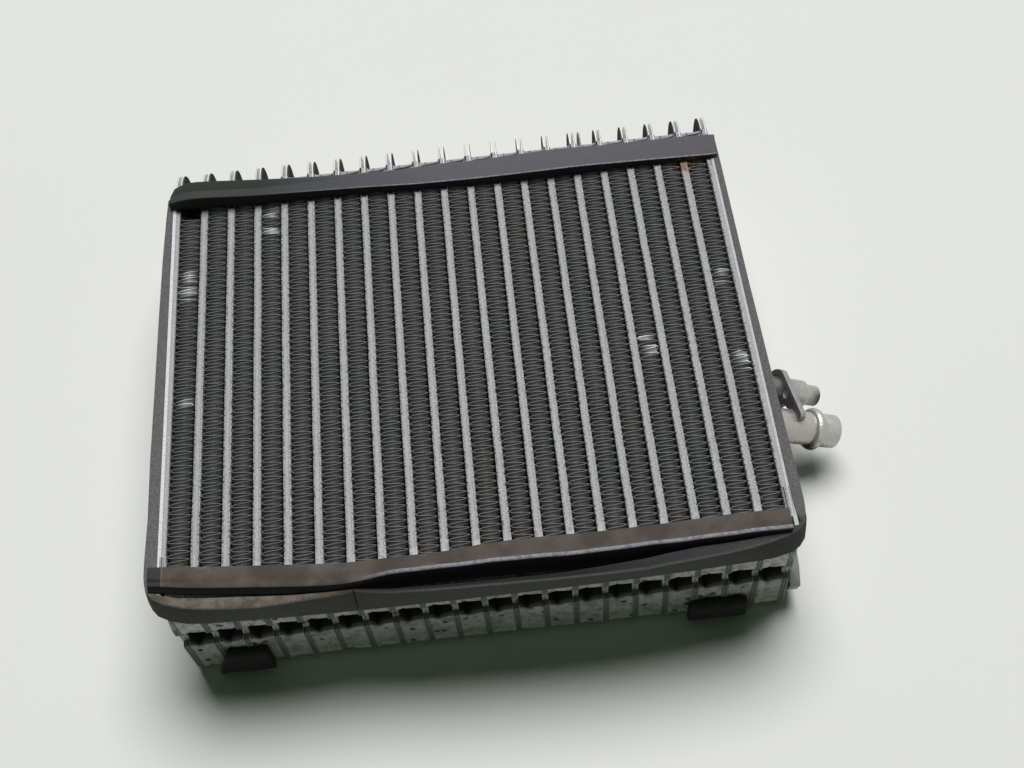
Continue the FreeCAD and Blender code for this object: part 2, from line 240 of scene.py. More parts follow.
# Axis of each zone, where it starts and where it is full. One with no axis is measured on another value.
ZONES = {
    "lit far tabs": ("Y", 0.0920, 0.0935), "leaf lit tip": ("Z", 0.0560, 0.0590), "near end": ("Y", -0.090, -0.096),
    "lit upper blocks": ("Z", 0.0345, 0.0353), "foot": ("Z", 0.0065, 0.0025),
    "near rims": ("Y", -0.1064, -0.1067), "under the tape": ("Z", 0.050, 0.048),
    "facing up": (None, 0.3, 0.6), "hollow foot": ("Z", 0.0245, 0.0255),
    "hollow top": ("Z", 0.0355, 0.0345), "hollow back": ("Y", -0.1033, -0.1029),
    "deep": ("Z", 0.0585, 0.0560), "between the tanks": (None, 0.0925, 0.0915),
    "mouth width": (None, 0.0013, 0.0009), "past the strip": (None, 0.0748, 0.0753),
    "before the tank": ("Y", 0.083, 0.082), "left": ("X", 0.0, -0.01),
    "cover edge": ("Z", 0.0590, 0.0594), "fin edge": ("Z", 0.0590, 0.0593), "handled": ("X", 0.144, 0.138),
    "retainer shaded back": (None, 0.7, 0.95), "foam top": ("Z", 0.0590, 0.0597), "beige run": ("X", -0.045, -0.056),
    "paler run": ("X", 0.035, 0.100), "near strip": ("Y", 0.02, -0.02), "dusty run": ("X", -0.02, -0.09),
    "strip flap": ("X", -0.1155, -0.1158), "crease": (None, 0.0004, 0.0001),
}
# Colours that belong to one mark each
TONES = {
    "leaf shaded foot": (0.018, 0.019, 0.018), "leaf lit tip": (0.26, 0.265, 0.26), "leaf lit inside": (0.88, 0.89, 0.88),
    "grime light": (0.41, 0.42, 0.40), "grime dark": (0.21, 0.225, 0.21), "lit upper pale": (0.52, 0.52, 0.50),
    "lit upper dark": (0.28, 0.29, 0.27), "foot": (0.80, 0.80, 0.77), "smear": (0.12, 0.13, 0.12),
    "near rim": (0.13, 0.145, 0.135), "mouth": (0.01, 0.01, 0.01), "hem dull": (0.55, 0.55, 0.56),
    "hem bright": (0.74, 0.74, 0.755), "fin brown": (0.38, 0.335, 0.29), "fin green": (0.29, 0.355, 0.32),
    "fin bare": (0.80, 0.81, 0.83), "pipe warm": (0.50, 0.45, 0.43), "beige dark": (0.098, 0.081, 0.062),
    "beige light": (0.18, 0.153, 0.122), "rim dark": (0.013, 0.014, 0.015), "rim cell": (0.022, 0.023, 0.024),
    "paler dark": (0.045, 0.045, 0.049), "paler cell": (0.065, 0.064, 0.069), "lip": (0.13, 0.13, 0.135),
    "brown dark": (0.062, 0.052, 0.046), "brown light": (0.095, 0.082, 0.073), "flap": (0.042, 0.040, 0.038),
    "crease": (0.20, 0.18, 0.16), "droop": (0.024, 0.027, 0.025), "highlight dark": (0.17, 0.17, 0.185),
    "highlight light": (0.29, 0.29, 0.33), "far wall shade": (0.030, 0.026, 0.025), "near wall shade": (0.009, 0.009, 0.010),
}
# Settings of each finish that are the same all over it
SURFACES = {
    "tube_sheet": {"Specular IOR Level": 0.3},
    "cover_sheet": {"Metallic": 0.0, "Roughness": 0.6, "Specular IOR Level": 0.3},
    "fin_sheet": {"Metallic": 0.1, "Roughness": 0.6},
    "pipe_aluminium": {"Metallic": 0.75},
    "retainer_sheet": {"Metallic": 0.2, "Roughness": 0.55},
    "band_foam": {"Roughness": 0.85, "Specular IOR Level": 0.12},
    "strip_foam": {"Roughness": 0.7, "Specular IOR Level": 0.1},
    "pad_rubber": {"Roughness": 0.75, "Specular IOR Level": 0.15},
    "floor_cloth": {"Roughness": 0.95, "Specular IOR Level": 0.1},
}
# Depth and strength of each finish's relief
RELIEF = {
    "tube_sheet": (0.0001, 0.4), "cover_sheet": (0.0001, 0.4), "pipe_aluminium": (0.00008, 0.3),
    "retainer_sheet": (0.0001, 0.4), "band_foam": (0.0002, 0.6), "strip_foam": (0.0001, 0.35),
    "pad_rubber": (0.0001, 0.5),
}
# Middle and reach of each patch of rust
RUST = [((0.1045, 0.0737, 0.0597), (0.0068, 0.0042, 0.0035)),
        ((0.1185, 0.0735, 0.0600), (0.0032, 0.0046, 0.0040)),
        ((0.1110, 0.0757, 0.0597), (0.0044, 0.0020, 0.0030))]
RUST_RAGGED = 0.006
HALF_PITCH = 0.0058
# How far the far strip's front edge falls back for each step to the left
STRIP_SLOPE = 0.0335
# How far to the left of the middle the near strip is creased
CREASE_PLACE = 0.1157
WORN_WIDTH = 0.0005
LEAF_METAL = 0.35
# Roughness of the plates and of their leaves' outside, and of the pipes off and on their turning marks
PLATE_ROUGHNESS = (0.45, 1.0)
PIPE_ROUGHNESS = (0.22, 0.40)
# The way that the retainer's back faces, the side that is painted dark as shade
RETAINER_BACK = (-0.906, 0.0, 0.423)


class Nodes:
    """A node tree, with short calls that add nodes to it."""

    def __init__(self, tree):
        self.tree = tree

    def add(self, kind, inputs=None, **settings):
        """A node with its settings, and with values or links on its inputs."""
        made = self.tree.nodes.new(kind)
        for name, value in settings.items():
            setattr(made, name, value)
        for name, value in (inputs or {}).items():
            if isinstance(value, bpy.types.NodeSocket):
                self.tree.links.new(value, made.inputs[name])
            else:
                made.inputs[name].default_value = value
        return made

    def place(self):
        """The place on the object, in metres."""
        return self.add("ShaderNodeTexCoord").outputs["Object"]

    def maths(self, operation, first, second=None):
        """The result of one sum."""
        inputs = {0: first} if second is None else {0: first, 1: second}
        return self.add("ShaderNodeMath", inputs, operation=operation).outputs[0]

    def times(self, *shares):
        """Several shares multiplied."""
        total = shares[0]
        for share in shares[1:]:
            total = self.maths("MULTIPLY", total, share)
        return total

    def vector(self, operation, first, second=None):
        """The result of one sum with vectors, which is a number for a length or a dot product."""
        inputs = {0: first}
        if second is not None:
            inputs["Scale" if operation == "SCALE" else 1] = second
        made = self.add("ShaderNodeVectorMath", inputs, operation=operation)
        return made.outputs["Value" if operation in ("LENGTH", "DOT_PRODUCT") else "Vector"]

    def ramp(self, value, low, high, first=0.0, last=1.0, kind="LINEAR"):
        """A number that goes from a first to a last value while another goes from low to high."""
        inputs = {"Value": value, "From Min": low, "From Max": high, "To Min": first, "To Max": last}
        return self.add("ShaderNodeMapRange", inputs, interpolation_type=kind).outputs[0]


def new_group(name, inputs):
    """A shader node group with named inputs and one mask as its output."""
    tree = bpy.data.node_groups.new(name, "ShaderNodeTree")
    for label, value in inputs.items():
        kind = "NodeSocketVector" if isinstance(value, tuple) else "NodeSocketFloat"
        tree.interface.new_socket(label, in_out="INPUT", socket_type=kind).default_value = value
    tree.interface.new_socket("Mask", in_out="OUTPUT", socket_type="NodeSocketFloat")
    nodes = Nodes(tree)
    return nodes, nodes.add("NodeGroupInput").outputs


def make_mottle():
    """Soft patches of noise between two limits."""
    nodes, given = new_group("Mottle", {"Scale": 100.0, "Low": 0.4, "High": 0.6, "Stretch": 1.0})
    x, y, z = nodes.add("ShaderNodeSeparateXYZ", {0: nodes.place()}).outputs
    along = nodes.maths("DIVIDE", y, given["Stretch"])
    joined = nodes.add("ShaderNodeCombineXYZ", {"X": x, "Y": along, "Z": z}).outputs[0]
    noise = nodes.add("ShaderNodeTexNoise",
                      {"Vector": joined, "Scale": given["Scale"], "Detail": 4.0, "Roughness": 0.6})
    mask = nodes.ramp(noise.outputs["Fac"], given["Low"], given["High"], kind="SMOOTHSTEP")
    nodes.add("NodeGroupOutput", {"Mask": mask})


def make_pits():
    """Scattered small spots with ragged edges."""
    nodes, given = new_group("Pits", {"Scale": 300.0, "Size": 0.2, "Share": 0.4})
    place = nodes.place()
    noise = nodes.add("ShaderNodeTexNoise", {"Vector": place, "Scale": 900.0, "Detail": 2.0})
    ragged = nodes.vector("ADD", place, nodes.vector("SCALE", noise.outputs["Color"], 0.0011))
    cells = nodes.add("ShaderNodeTexVoronoi", {"Vector": ragged, "Scale": given["Scale"]})
    draw = nodes.add("ShaderNodeSeparateColor", {0: cells.outputs["Color"]}).outputs[0]
    kept = nodes.maths("LESS_THAN", draw, given["Share"])
    core = nodes.times(given["Size"], 0.6)
    spot = nodes.ramp(cells.outputs["Distance"], core, given["Size"], 1.0, 0.0)
    nodes.add("NodeGroupOutput", {"Mask": nodes.times(kept, spot)})


def make_worn_edge():
    """Where a rounded edge turns, from the difference between the bevelled and the true normal."""
    nodes, given = new_group("Worn edge", {"Width": 0.0005})
    rounded = nodes.add("ShaderNodeBevel", {"Radius": given["Width"]}, samples=4).outputs[0]
    turn = nodes.vector("DOT_PRODUCT", rounded, nodes.add("ShaderNodeNewGeometry").outputs["Normal"])
    nodes.add("NodeGroupOutput", {"Mask": nodes.ramp(turn, 0.99, 0.80)})


def make_window():
    """How far inside an egg-shaped patch a place is, with a soft ragged rim."""
    nodes, given = new_group("Window", {"Middle": (0, 0, 0), "Reach": (1, 1, 1), "Ragged": 0.0})
    place = nodes.place()
    noise = nodes.add("ShaderNodeTexNoise", {"Vector": place, "Scale": 420.0, "Detail": 3.0})
    centred = nodes.vector("SUBTRACT", noise.outputs["Color"], (0.5, 0.5, 0.5))
    moved = nodes.vector("ADD", place, nodes.vector("SCALE", centred, given["Ragged"]))
    share = nodes.vector("DIVIDE", nodes.vector("SUBTRACT", moved, given["Middle"]), given["Reach"])
    mask = nodes.ramp(nodes.vector("LENGTH", share), 0.75, 1.0, 1.0, 0.0, kind="SMOOTHSTEP")
    nodes.add("NodeGroupOutput", {"Mask": mask})


def shade(colour, level):
    """A colour made darker or lighter."""
    return tuple(channel * level for channel in colour)


class Paint(Nodes):
    """The nodes of one material, round its Principled shader."""

    def __init__(self, slot):
        material = bpy.data.materials.new(FINISH + slot)
        material.use_nodes = True
        super().__init__(material.node_tree)
        self.slot = slot
        self.shader = self.tree.nodes["Principled BSDF"]
        for name, value in SURFACES[slot].items():
            self.shader.inputs[name].default_value = value
        self.axes = self.add("ShaderNodeSeparateXYZ", {0: self.place()}).outputs

    def feed(self, name, value):
        """Links a value that changes over the surface to the shader."""
        self.tree.links.new(value, self.shader.inputs[name])

    def group(self, name, **values):
        """The mask of a node group, with its values."""
        made = self.add("ShaderNodeGroup", node_tree=bpy.data.node_groups[name])
        for label, value in values.items():
            made.inputs[label].default_value = value
        return made.outputs[0]

    def mottle(self, name):
        """A kind of patchy noise."""
        return self.group("Mottle", **dict(zip(("Scale", "Low", "High", "Stretch"), MOTTLES[name])))

    def pits(self, name):
        """A kind of small spots."""
        return self.group("Pits", **dict(zip(("Scale", "Size", "Share"), PITS[name])))

    def zone(self, name, value=None):
        """The share of a zone at each place."""
        axis, start, full = ZONES[name]
        return self.ramp(self.axes[axis] if value is None else value, start, full)

    def mark(self, name):
        """A value that is kept on the mesh."""
        return self.add("ShaderNodeAttribute", attribute_name=name).outputs["Fac"]

    def facing(self):
        """The direction that the surface faces."""
        return self.add("ShaderNodeNewGeometry").outputs["Normal"]

    def blend(self, share, low, high):
        """A colour that goes from one to another with a share."""
        made = self.add("ShaderNodeMix", {0: share}, data_type="RGBA")
        for socket, value in ((made.inputs[6], low), (made.inputs[7], high)):
            if isinstance(value, bpy.types.NodeSocket):
                self.tree.links.new(value, socket)
            else:
                socket.default_value = (*value, 1.0)
        return made.outputs[2]

    def patchy(self, name, low, high):
        """A colour that goes from one to another with patchy noise."""
        return self.blend(self.mottle(name), low, high)

    def coats(self, base, *layers):
        """A colour under coats, each with its share, its colour and, where it is thin, its strength."""
        for share, colour, *strength in layers:
            base = self.blend(self.times(share, *strength), base, colour)
        return base

    def relief(self, height):
        """Small relief from a height, as deep as the finish has it."""
        depth, strength = RELIEF[self.slot]
        made = self.add("ShaderNodeBump", {"Strength": strength, "Distance": depth, "Height": height})
        self.feed("Normal", made.outputs[0])


def rusted(paint, base, colours):
    """Reddish brown dirt where the far strip meets the last tubes."""
    tone = paint.patchy("rust", shade(colours.rust, 0.3), shade(colours.rust, 1.7))
    for middle, reach in RUST:
        patch = paint.group("Window", Middle=middle, Reach=reach, Ragged=RUST_RAGGED)
        base = paint.coats(base, (patch, tone, 0.9))
    return base


def near_end_grime_light_and_shade(paint, colours):
    """The near end's sheet: grimy, with a paler foot, pits and smears, its upper blocks lighter as painted
    light, and painted shade on the ledges under the tape and in the hollows.
    """
    # Painted shade on the faces that look up under the tape, and in the hollows between the tank cups.
    shaded_ledge = paint.add("ShaderNodeSeparateXYZ", {0: paint.facing()}).outputs["Z"]
    shaded_ledge = paint.times(paint.zone("facing up", shaded_ledge), paint.zone("under the tape"))
    shaded_hollow = paint.times(paint.zone("hollow foot"), paint.zone("hollow top"), paint.zone("hollow back"))
    lower = paint.patchy("grime", TONES["grime light"], TONES["grime dark"])
    # The upper blocks are painted lighter than the lower ones, as painted light.
    upper = paint.patchy("upper grime", TONES["lit upper pale"], TONES["lit upper dark"])
    return paint.coats(
        lower, (paint.zone("lit upper blocks"), upper), (paint.zone("foot"), TONES["foot"], 0.6),
        (paint.pits("grime"), colours.dirt), (paint.mottle("smears"), TONES["smear"], 0.8),
        (paint.zone("near rims"), TONES["near rim"]), (shaded_ledge, shade(colours.dirt, 0.3)),
        (shaded_hollow, shade(colours.dirt, 0.3)))


def tube_mouths(paint):
    """Painted shade for the dark gaps between each tube's end and the far strip."""
    aside = paint.maths("PINGPONG", paint.maths("ABSOLUTE", paint.axes["X"]), HALF_PITCH)
    climb = paint.times(paint.maths("MINIMUM", paint.axes["X"], 0.0), STRIP_SLOPE)
    climb = paint.maths("ADD", paint.axes["Y"], climb)
    return paint.times(paint.zone("mouth width", aside), paint.zone("past the strip", climb),
                       paint.zone("before the tank"))


def plate_material(paint, colours):
    """Stamped aluminium sheet with handling marks and grey grime at the near end, with painted light on the
    far tabs and the leaves' insides, and painted shade on the leaves' outsides and the tube mouths.
    """
    plate = colours.plate
    # Painted shade on the leaves' outer faces: dark at their foot, lighter towards their lit tip.
    leaf_outside_shade = paint.blend(paint.zone("leaf lit tip"), TONES["leaf shaded foot"], TONES["leaf lit tip"])
    inland = paint.zone("between the tanks", paint.maths("ABSOLUTE", paint.axes["Y"]))
    deep = paint.times(paint.zone("deep"), inland)
    paint.feed("Metallic", paint.times(paint.mark("inner"), LEAF_METAL))
    paint.feed("Roughness", paint.ramp(paint.mark("outer"), 0.0, 1.0, *PLATE_ROUGHNESS))
    paint.relief(paint.mottle("grain"))
    base = paint.coats(
        paint.patchy("handling", shade(plate, 0.94), shade(plate, 1.14)),
        (paint.mottle("flecks"), shade(plate, 0.62), 0.8),
        (paint.times(paint.mark("rim"), paint.mottle("nibbled rim")), shade(plate, 0.12)),
        # The far tabs are painted a little lighter as painted light.
        (paint.zone("lit far tabs"), shade(plate, 1.05)), (paint.mark("outer"), leaf_outside_shade),
        # The leaves' inner faces are painted near white as painted light.
        (paint.mark("inner"), TONES["leaf lit inside"]), (paint.zone("near end"), near_end_grime_light_and_shade(paint, colours)),
        # The tube mouths are painted black as painted shade.
        (deep, shade(plate, 0.25)), (tube_mouths(paint), TONES["mouth"]))
    return rusted(paint, base, colours)


def cover_material(paint, colours):
    """Brighter sheet of the end covers and the side plate, with handling marks and a worn top edge."""
    tone = shade(colours.plate, 1.02)
    edge = paint.zone("cover edge")
    paint.relief(paint.mottle("grain"))
    return paint.coats(
        paint.patchy("handling", shade(tone, 0.85), tone), (paint.pits("cover"), shade(tone, 0.5)),
        (paint.mottle("stains"), shade(tone, 0.5), 0.35),
        (edge, paint.patchy("hem", shade(tone, 1.1), shade(tone, 1.45))),
        (paint.times(paint.zone("left"), edge), paint.patchy("hem", TONES["hem dull"], TONES["hem bright"])))


def fin_material(paint, colours):
    """Grimy fins with tinted patches, duller cut edges, painted shade at the crests where they meet the
    tubes, and a few bare bent places.
    """
    rim = paint.patchy("cut edge", shade(colours.fin_rim, 0.6), colours.fin_rim)
    base = paint.coats(
        paint.patchy("fin tint", shade(colours.fin, 0.85), colours.fin),
        (paint.mottle("brown"), TONES["fin brown"], 0.7), (paint.mottle("green"), TONES["fin green"], 0.7),
        # Painted shade at the crests, where the fins meet the tubes.
        (paint.zone("fin edge"), rim), (paint.mark("crest_shade"), shade(colours.fin, 0.1), 0.85),
        (paint.mark("bare"), TONES["fin bare"]))
    return rusted(paint, base, colours)


def pipe_material(paint, colours):
    """Satin aluminium with turning marks, warmer where it was handled, and dark patches: stains, and painted
    shade at the small pipe's root.
    """
    pipe = colours.pipe
    turning = paint.mottle("turning")
    paint.feed("Roughness", paint.ramp(turning, 0.0, 1.0, *PIPE_ROUGHNESS))
    paint.relief(turning)
    return paint.coats(
        paint.patchy("pipe", shade(pipe, 0.8), pipe), (paint.zone("handled"), TONES["pipe warm"], 0.7),
        (turning, shade(pipe, 0.6), 0.3), (paint.mottle("pipe stains"), shade(pipe, 0.4), 0.5),
        # Dark where marked: stains, and painted shade at the small pipe's root.
        (paint.mark("stain_and_shade"), shade(pipe, 0.05)))


def retainer_material(paint, colours):
    """Dull grey plate whose back face is painted dark as shade, leaving its top edge lighter, with a worn
    rim.
    """
    retainer = colours.retainer
    # Painted shade on the back face, turned to the core.
    face = paint.zone("retainer shaded back", paint.vector("DOT_PRODUCT", paint.facing(), RETAINER_BACK))
    paint.relief(paint.mottle("fine grain"))
    return paint.coats(
        paint.patchy("retainer", shade(retainer, 0.75), retainer), (face, shade(retainer, 0.19)),
        (paint.group("Worn edge", Width=WORN_WIDTH), shade(retainer, 1.6), 0.4))


def foam_material(paint, colours):
    """Foam tape with open cells, a cut top rim that has gone beige at the left, and a painted highlight along
    the lip of its wall.
    """
    cells = paint.mottle("cells")
    left = paint.zone("beige run")
    wall = paint.blend(cells, shade(colours.foam, 0.75), shade(colours.foam, 1.05))
    top = paint.blend(cells, shade(colours.foam_top, 0.72), shade(colours.foam_top, 1.25))
    dark = paint.blend(cells, TONES["rim dark"], TONES["rim cell"])
    paler = paint.blend(cells, TONES["paler dark"], TONES["paler cell"])
    beige = paint.patchy("beige", TONES["beige dark"], TONES["beige light"])
    cut = paint.coats(dark, (paint.zone("paler run"), paler), (left, beige))
    # A painted highlight along the lip, except at the left.
    lip = paint.times(paint.mark("lip"), paint.maths("SUBTRACT", 1.0, left))
    paint.relief(cells)
    return paint.coats(wall, (paint.zone("foam top"), top), (paint.mark("cut"), cut),
                       (lip, TONES["lip"], 0.4))


def strip_material(paint, colours):
    """Smooth tape, lavender grey on top, with painted shade on its walls and a painted highlight along its
    front edges, and brown with dust at the near end.
    """
    fine = paint.mottle("strip")
    near = paint.zone("near strip")
    crease = paint.maths("ABSOLUTE", paint.maths("ADD", paint.axes["X"], CREASE_PLACE))
    brown = paint.coats(
        paint.patchy("strip dirt", TONES["brown dark"], TONES["brown light"]),
        (paint.times(paint.mottle("strip dust"), paint.zone("dusty run")), colours.dust, 0.45),
        (paint.zone("strip flap"), TONES["flap"]), (paint.zone("crease", crease), TONES["crease"], 0.5))
    paint.relief(fine)
    base = paint.coats(
        paint.blend(fine, shade(colours.strip, 0.9), shade(colours.strip, 1.08)), (near, brown),
        (paint.mark("droop"), TONES["droop"]),
        # A painted highlight along the front edges, and painted shade on the walls.
        (paint.mark("edge"), paint.patchy("edge highlight", TONES["highlight dark"], TONES["highlight light"])),
        (paint.mark("wall"), paint.blend(near, TONES["far wall shade"], TONES["near wall shade"])))
    return rusted(paint, base, colours)


def rubber_material(paint, colours):
    """Black rubber with a little dust."""
    paint.relief(paint.mottle("rubber grain"))
    return paint.patchy("rubber", colours.rubber, shade(colours.rubber, 2.2))


def floor_material(paint, colours):
    """Pale woven cloth."""
    floor = colours.floor
    return paint.coats(paint.patchy("weave", shade(floor, 0.985), shade(floor, 1.0)),
                       (paint.mottle("broad"), shade(floor, 0.975), 0.5))


MATERIALS = {
    "tube_sheet": plate_material, "cover_sheet": cover_material, "fin_sheet": fin_material,
    "pipe_aluminium": pipe_material, "retainer_sheet": retainer_material, "band_foam": foam_material,
    "strip_foam": strip_material, "pad_rubber": rubber_material, "floor_cloth": floor_material,
}


class CORE_OT_materials(bpy.types.Operator):
    """Make the node groups and the material of every slot"""

    bl_idname = "core.materials"
    bl_label = "Materials"

    def execute(self, context):
        make_mottle()
        make_pits()
        make_worn_edge()
        make_window()
        for slot, maker in MATERIALS.items():
            paint = Paint(slot)
            paint.feed("Base Color", maker(paint, context.scene.core_colours))
        return {"FINISHED"}


# The stage

FLOOR_REACH = 4.0
FLOOR_DROP = 0.0003
# Place of the lamp, the place that it points at, and its colour
LAMP_PLACE = Vector((1.20, 5.10, 10.6))
LAMP_TARGET = Vector((0.0, 0.0, 0.03))
LAMP_WIDTH = 9.6
LAMP_LENGTH = 7.2
LAMP_COLOUR = (1.0, 0.99, 1.0)
FILL_COLOUR = (0.70, 1.26, 0.66, 1.0)
ROOM_COLOUR = (0.78, 0.80, 0.75, 1.0)
# The camera's place and its three directions, solved from the photograph's straight edges
CAMERA_PLACE = (0.01949, -0.30732, 0.51259)
CAMERA_RIGHT = (0.99361865, -0.0961012, -0.0590469)
CAMERA_UP = (0.11279107, 0.84477179, 0.52310497)
CAMERA_BACK = (-0.000389855, -0.526426813, 0.850220359)
CAMERA_LENS = 47.58
CAMERA_SENSOR = 36.0


class CORE_OT_stage(bpy.types.Operator):
    """Lay the pale floor, hang the lamp and set the camera as in the photograph"""

    bl_idname = "core.stage"
    bl_label = "Stage"

    def execute(self, context):
        scene = context.scene
        self.floor(scene)
        self.lamp(scene)
        self.room(scene)
        self.camera(scene)
        scene.view_settings.view_transform = "Standard"
        return {"FINISHED"}

    def floor(self, scene):
        """A wide cloth under the core."""
        bm = bmesh.new()
        bmesh.ops.create_grid(bm, x_segments=8, y_segments=8, size=FLOOR_REACH)
        bmesh.ops.translate(bm, vec=(0.0, 0.0, -FLOOR_DROP), verts=bm.verts)
        mesh = bpy.data.meshes.new("floor")
        bm.to_mesh(mesh)
        bm.free()
        floor = bpy.data.objects.new("floor", mesh)
        scene.collection.objects.link(floor)
        mesh.materials.append(bpy.data.materials[FINISH + "floor_cloth"])

    def lamp(self, scene):
        """One large lamp high behind the core."""
        away = LAMP_PLACE - LAMP_TARGET
        lamp = bpy.data.lights.new("key", "AREA")
        lamp.shape = "ELLIPSE"
        lamp.size = LAMP_WIDTH
        lamp.size_y = LAMP_LENGTH
        lamp.color = LAMP_COLOUR
        reach = math.pi ** 2 * away.length_squared / (away.normalized().z ** 2)
        lamp.energy = scene.core_sizes.key_level * reach
        key = bpy.data.objects.new("key", lamp)
        key.location = LAMP_PLACE
        key.rotation_euler = away.to_track_quat("Z", "Y").to_euler()
        scene.collection.objects.link(key)

    def room(self, scene):
        """A weak greenish light all round, behind which the camera and the metal see a pale room."""
        world = bpy.data.worlds.new("room")
        world.use_nodes = True
        nodes = Nodes(world.node_tree)
        path = nodes.add("ShaderNodeLightPath").outputs
        seen = nodes.maths("MAXIMUM", path["Is Camera Ray"], path["Is Glossy Ray"])
        seen = nodes.maths("MAXIMUM", seen, path["Is Transmission Ray"])
        fill = world.node_tree.nodes["Background"]
        fill.inputs["Color"].default_value = FILL_COLOUR
        fill.inputs["Strength"].default_value = scene.core_sizes.fill_level
        pale = nodes.add("ShaderNodeBackground", {"Color": ROOM_COLOUR, "Strength": 1.0})
        mixed = nodes.add("ShaderNodeMixShader", {0: seen, 1: fill.outputs[0], 2: pale.outputs[0]})
        world.node_tree.links.new(mixed.outputs[0], world.node_tree.nodes["World Output"].inputs["Surface"])
        scene.world = world

    def camera(self, scene):
        """The camera where the photograph was taken."""
        lens = bpy.data.cameras.new("camera")
        lens.lens = CAMERA_LENS
        lens.sensor_width = CAMERA_SENSOR
        lens.clip_start = 0.01
        camera = bpy.data.objects.new("camera", lens)
        camera.location = CAMERA_PLACE
        turn = Matrix((CAMERA_RIGHT, CAMERA_UP, CAMERA_BACK)).transposed()
        camera.rotation_euler = turn.to_euler()
        scene.collection.objects.link(camera)
        scene.camera = camera


# Tubes with their tabs and tank cups

TANK_DEPTH = 25.0
TANK_WALL = 104.5
FAR_FRONT_WALL = 99.6
TANK_ROOT = 92.5
NEAR_ROOT = 97.6
NOTCH_TIP = 103.8
END_RADIUS = 22.0
POCKET_NOTCH = 2.4
NEAR_WALL = 106.3
FIRST_TUBE_INNER = 1.0
LOOSE_TAB = 15
SHALLOW = 4.2
DEEP = -7.4
REAR_RADIUS = 4.0
LOBE_RADIUS = 1.5
# How far in front of its tank a leaf starts
LEAF_ROOT = 2.5
# Share of half the lean, and width, of each step from a leaf's rim to its middle
LEAF_STEPS = ((0.9, 1.3), (0.9, 2.4))
LEAF_GAP = 0.05
# X and margin of each ring of the leaf that has come loose
LOOSE_LEAF = ((3.3, 0.2), (3.45, 0.0), (3.8, 0.0), (3.95, 0.2))
FAR_CUP_FOOT = 1.0
NEAR_CUP_FOOT = 0.55
CUP_CORNER = 1.8
CUP_INSET = 1.6
NEAR_FRONT_DIP = 0.1
SEAM_SHIFT = 0.55
TUBE_SWAY = 0.07


def tube_middle(index, sizes):
    """X of the middle of a tube."""
    return (index - (len(TUBES) - 1) / 2) * sizes.tube_pitch


def tab_outline(radius, start):
    """A stamped plate's end beyond a start, in YZ, with a rounded lobe for each tank and a notch between."""
    rear = arc((TAB_TIP - REAR_RADIUS, REAR_RADIUS), REAR_RADIUS, -90, 0, 4)
    low = arc((TAB_TIP - LOBE_RADIUS, TANK_DEPTH - LOBE_RADIUS), LOBE_RADIUS, 0, 90, 2)
    dip = [(NOTCH_TIP + 0.6, TANK_DEPTH + 0.3), (NOTCH_TIP, TANK_DEPTH + 1.4)]
    rise = [(y, CORE_DEPTH - z) for y, z in reversed(dip)]
    high = [(y, CORE_DEPTH - z) for y, z in reversed(low)]
    front = arc((TAB_TIP - radius, CORE_DEPTH - radius), radius, 0, 90, 9)
    return [(start, 0.0)] + rear + low + dip + rise + high + front + [(start, CORE_DEPTH)]


def shrunk(points, margin):
    """A closed outline moved inwards by a margin."""
    moved = []
    for last, here, following in zip(points[-1:] + points[:-1], points, points[1:] + points[:1]):
        along = (Vector(following) - Vector(last)).normalized()
        moved.append((here[0] - along.y * margin, here[1] + along.x * margin))
    return moved


def closed_tabs(bm, radius, sizes):
    """The near end's pair of tabs, pressed together with a groove between their rims."""
    points = tab_outline(radius, NEAR_ROOT - 0.6)
    half = sizes.tab_half
    rings = [(half, 0.5), (half - 0.12, 0.15), (half - 0.35, 0.0), (0.3, 0.0), (0.12, 0.35)]
    rings += [(-place, margin) for place, margin in reversed(rings)]
    sections = [[Vector((place, -y, z)) for y, z in shrunk(points, margin)] for place, margin in rings]
    loft(bm, sections)


def tab_leaf(bm, end, side, radius, sizes):
    """One leaf of a tab pair, whose rim leans away from the seam like a horn."""
    points = tab_outline(radius, TANK_ROOT - LEAF_ROOT)
    spread = side * sizes.tab_spread
    before = set(bm.verts)
    ring = [Vector((spread, end * y, z)) for y, z in points]
    face = new_ring(bm, ring)
    face.normal_update()
    depth = -spread / 2 / math.copysign(1.0, face.normal.x)
    for share, width in LEAF_STEPS:
        bmesh.ops.inset_region(bm, faces=[face], thickness=width, depth=depth * share, use_even_offset=True)
    verts = [vert for vert in bm.verts if vert not in before]
    outer = bm.verts.layers.float["outer"]
    inner = bm.verts.layers.float["inner"]
    faces = list({f for vert in verts for f in vert.link_faces})
    made = bmesh.ops.extrude_face_region(bm, geom=faces)
    top = [item for item in made["geom"] if isinstance(item, bmesh.types.BMVert)]
    bmesh.ops.translate(bm, vec=(side * sizes.sheet, 0, 0), verts=top)
    bmesh.ops.translate(bm, vec=(side * LEAF_GAP, 0, 0), verts=verts + top)
    # The inner faces get the inner mark, painted near white as painted light; the outer faces get the outer
    # mark, painted in shade.
    for vert in verts:
        vert[inner] = 1.0
    for vert in top:
        vert[inner] = 0.0
        vert[outer] = 1.0


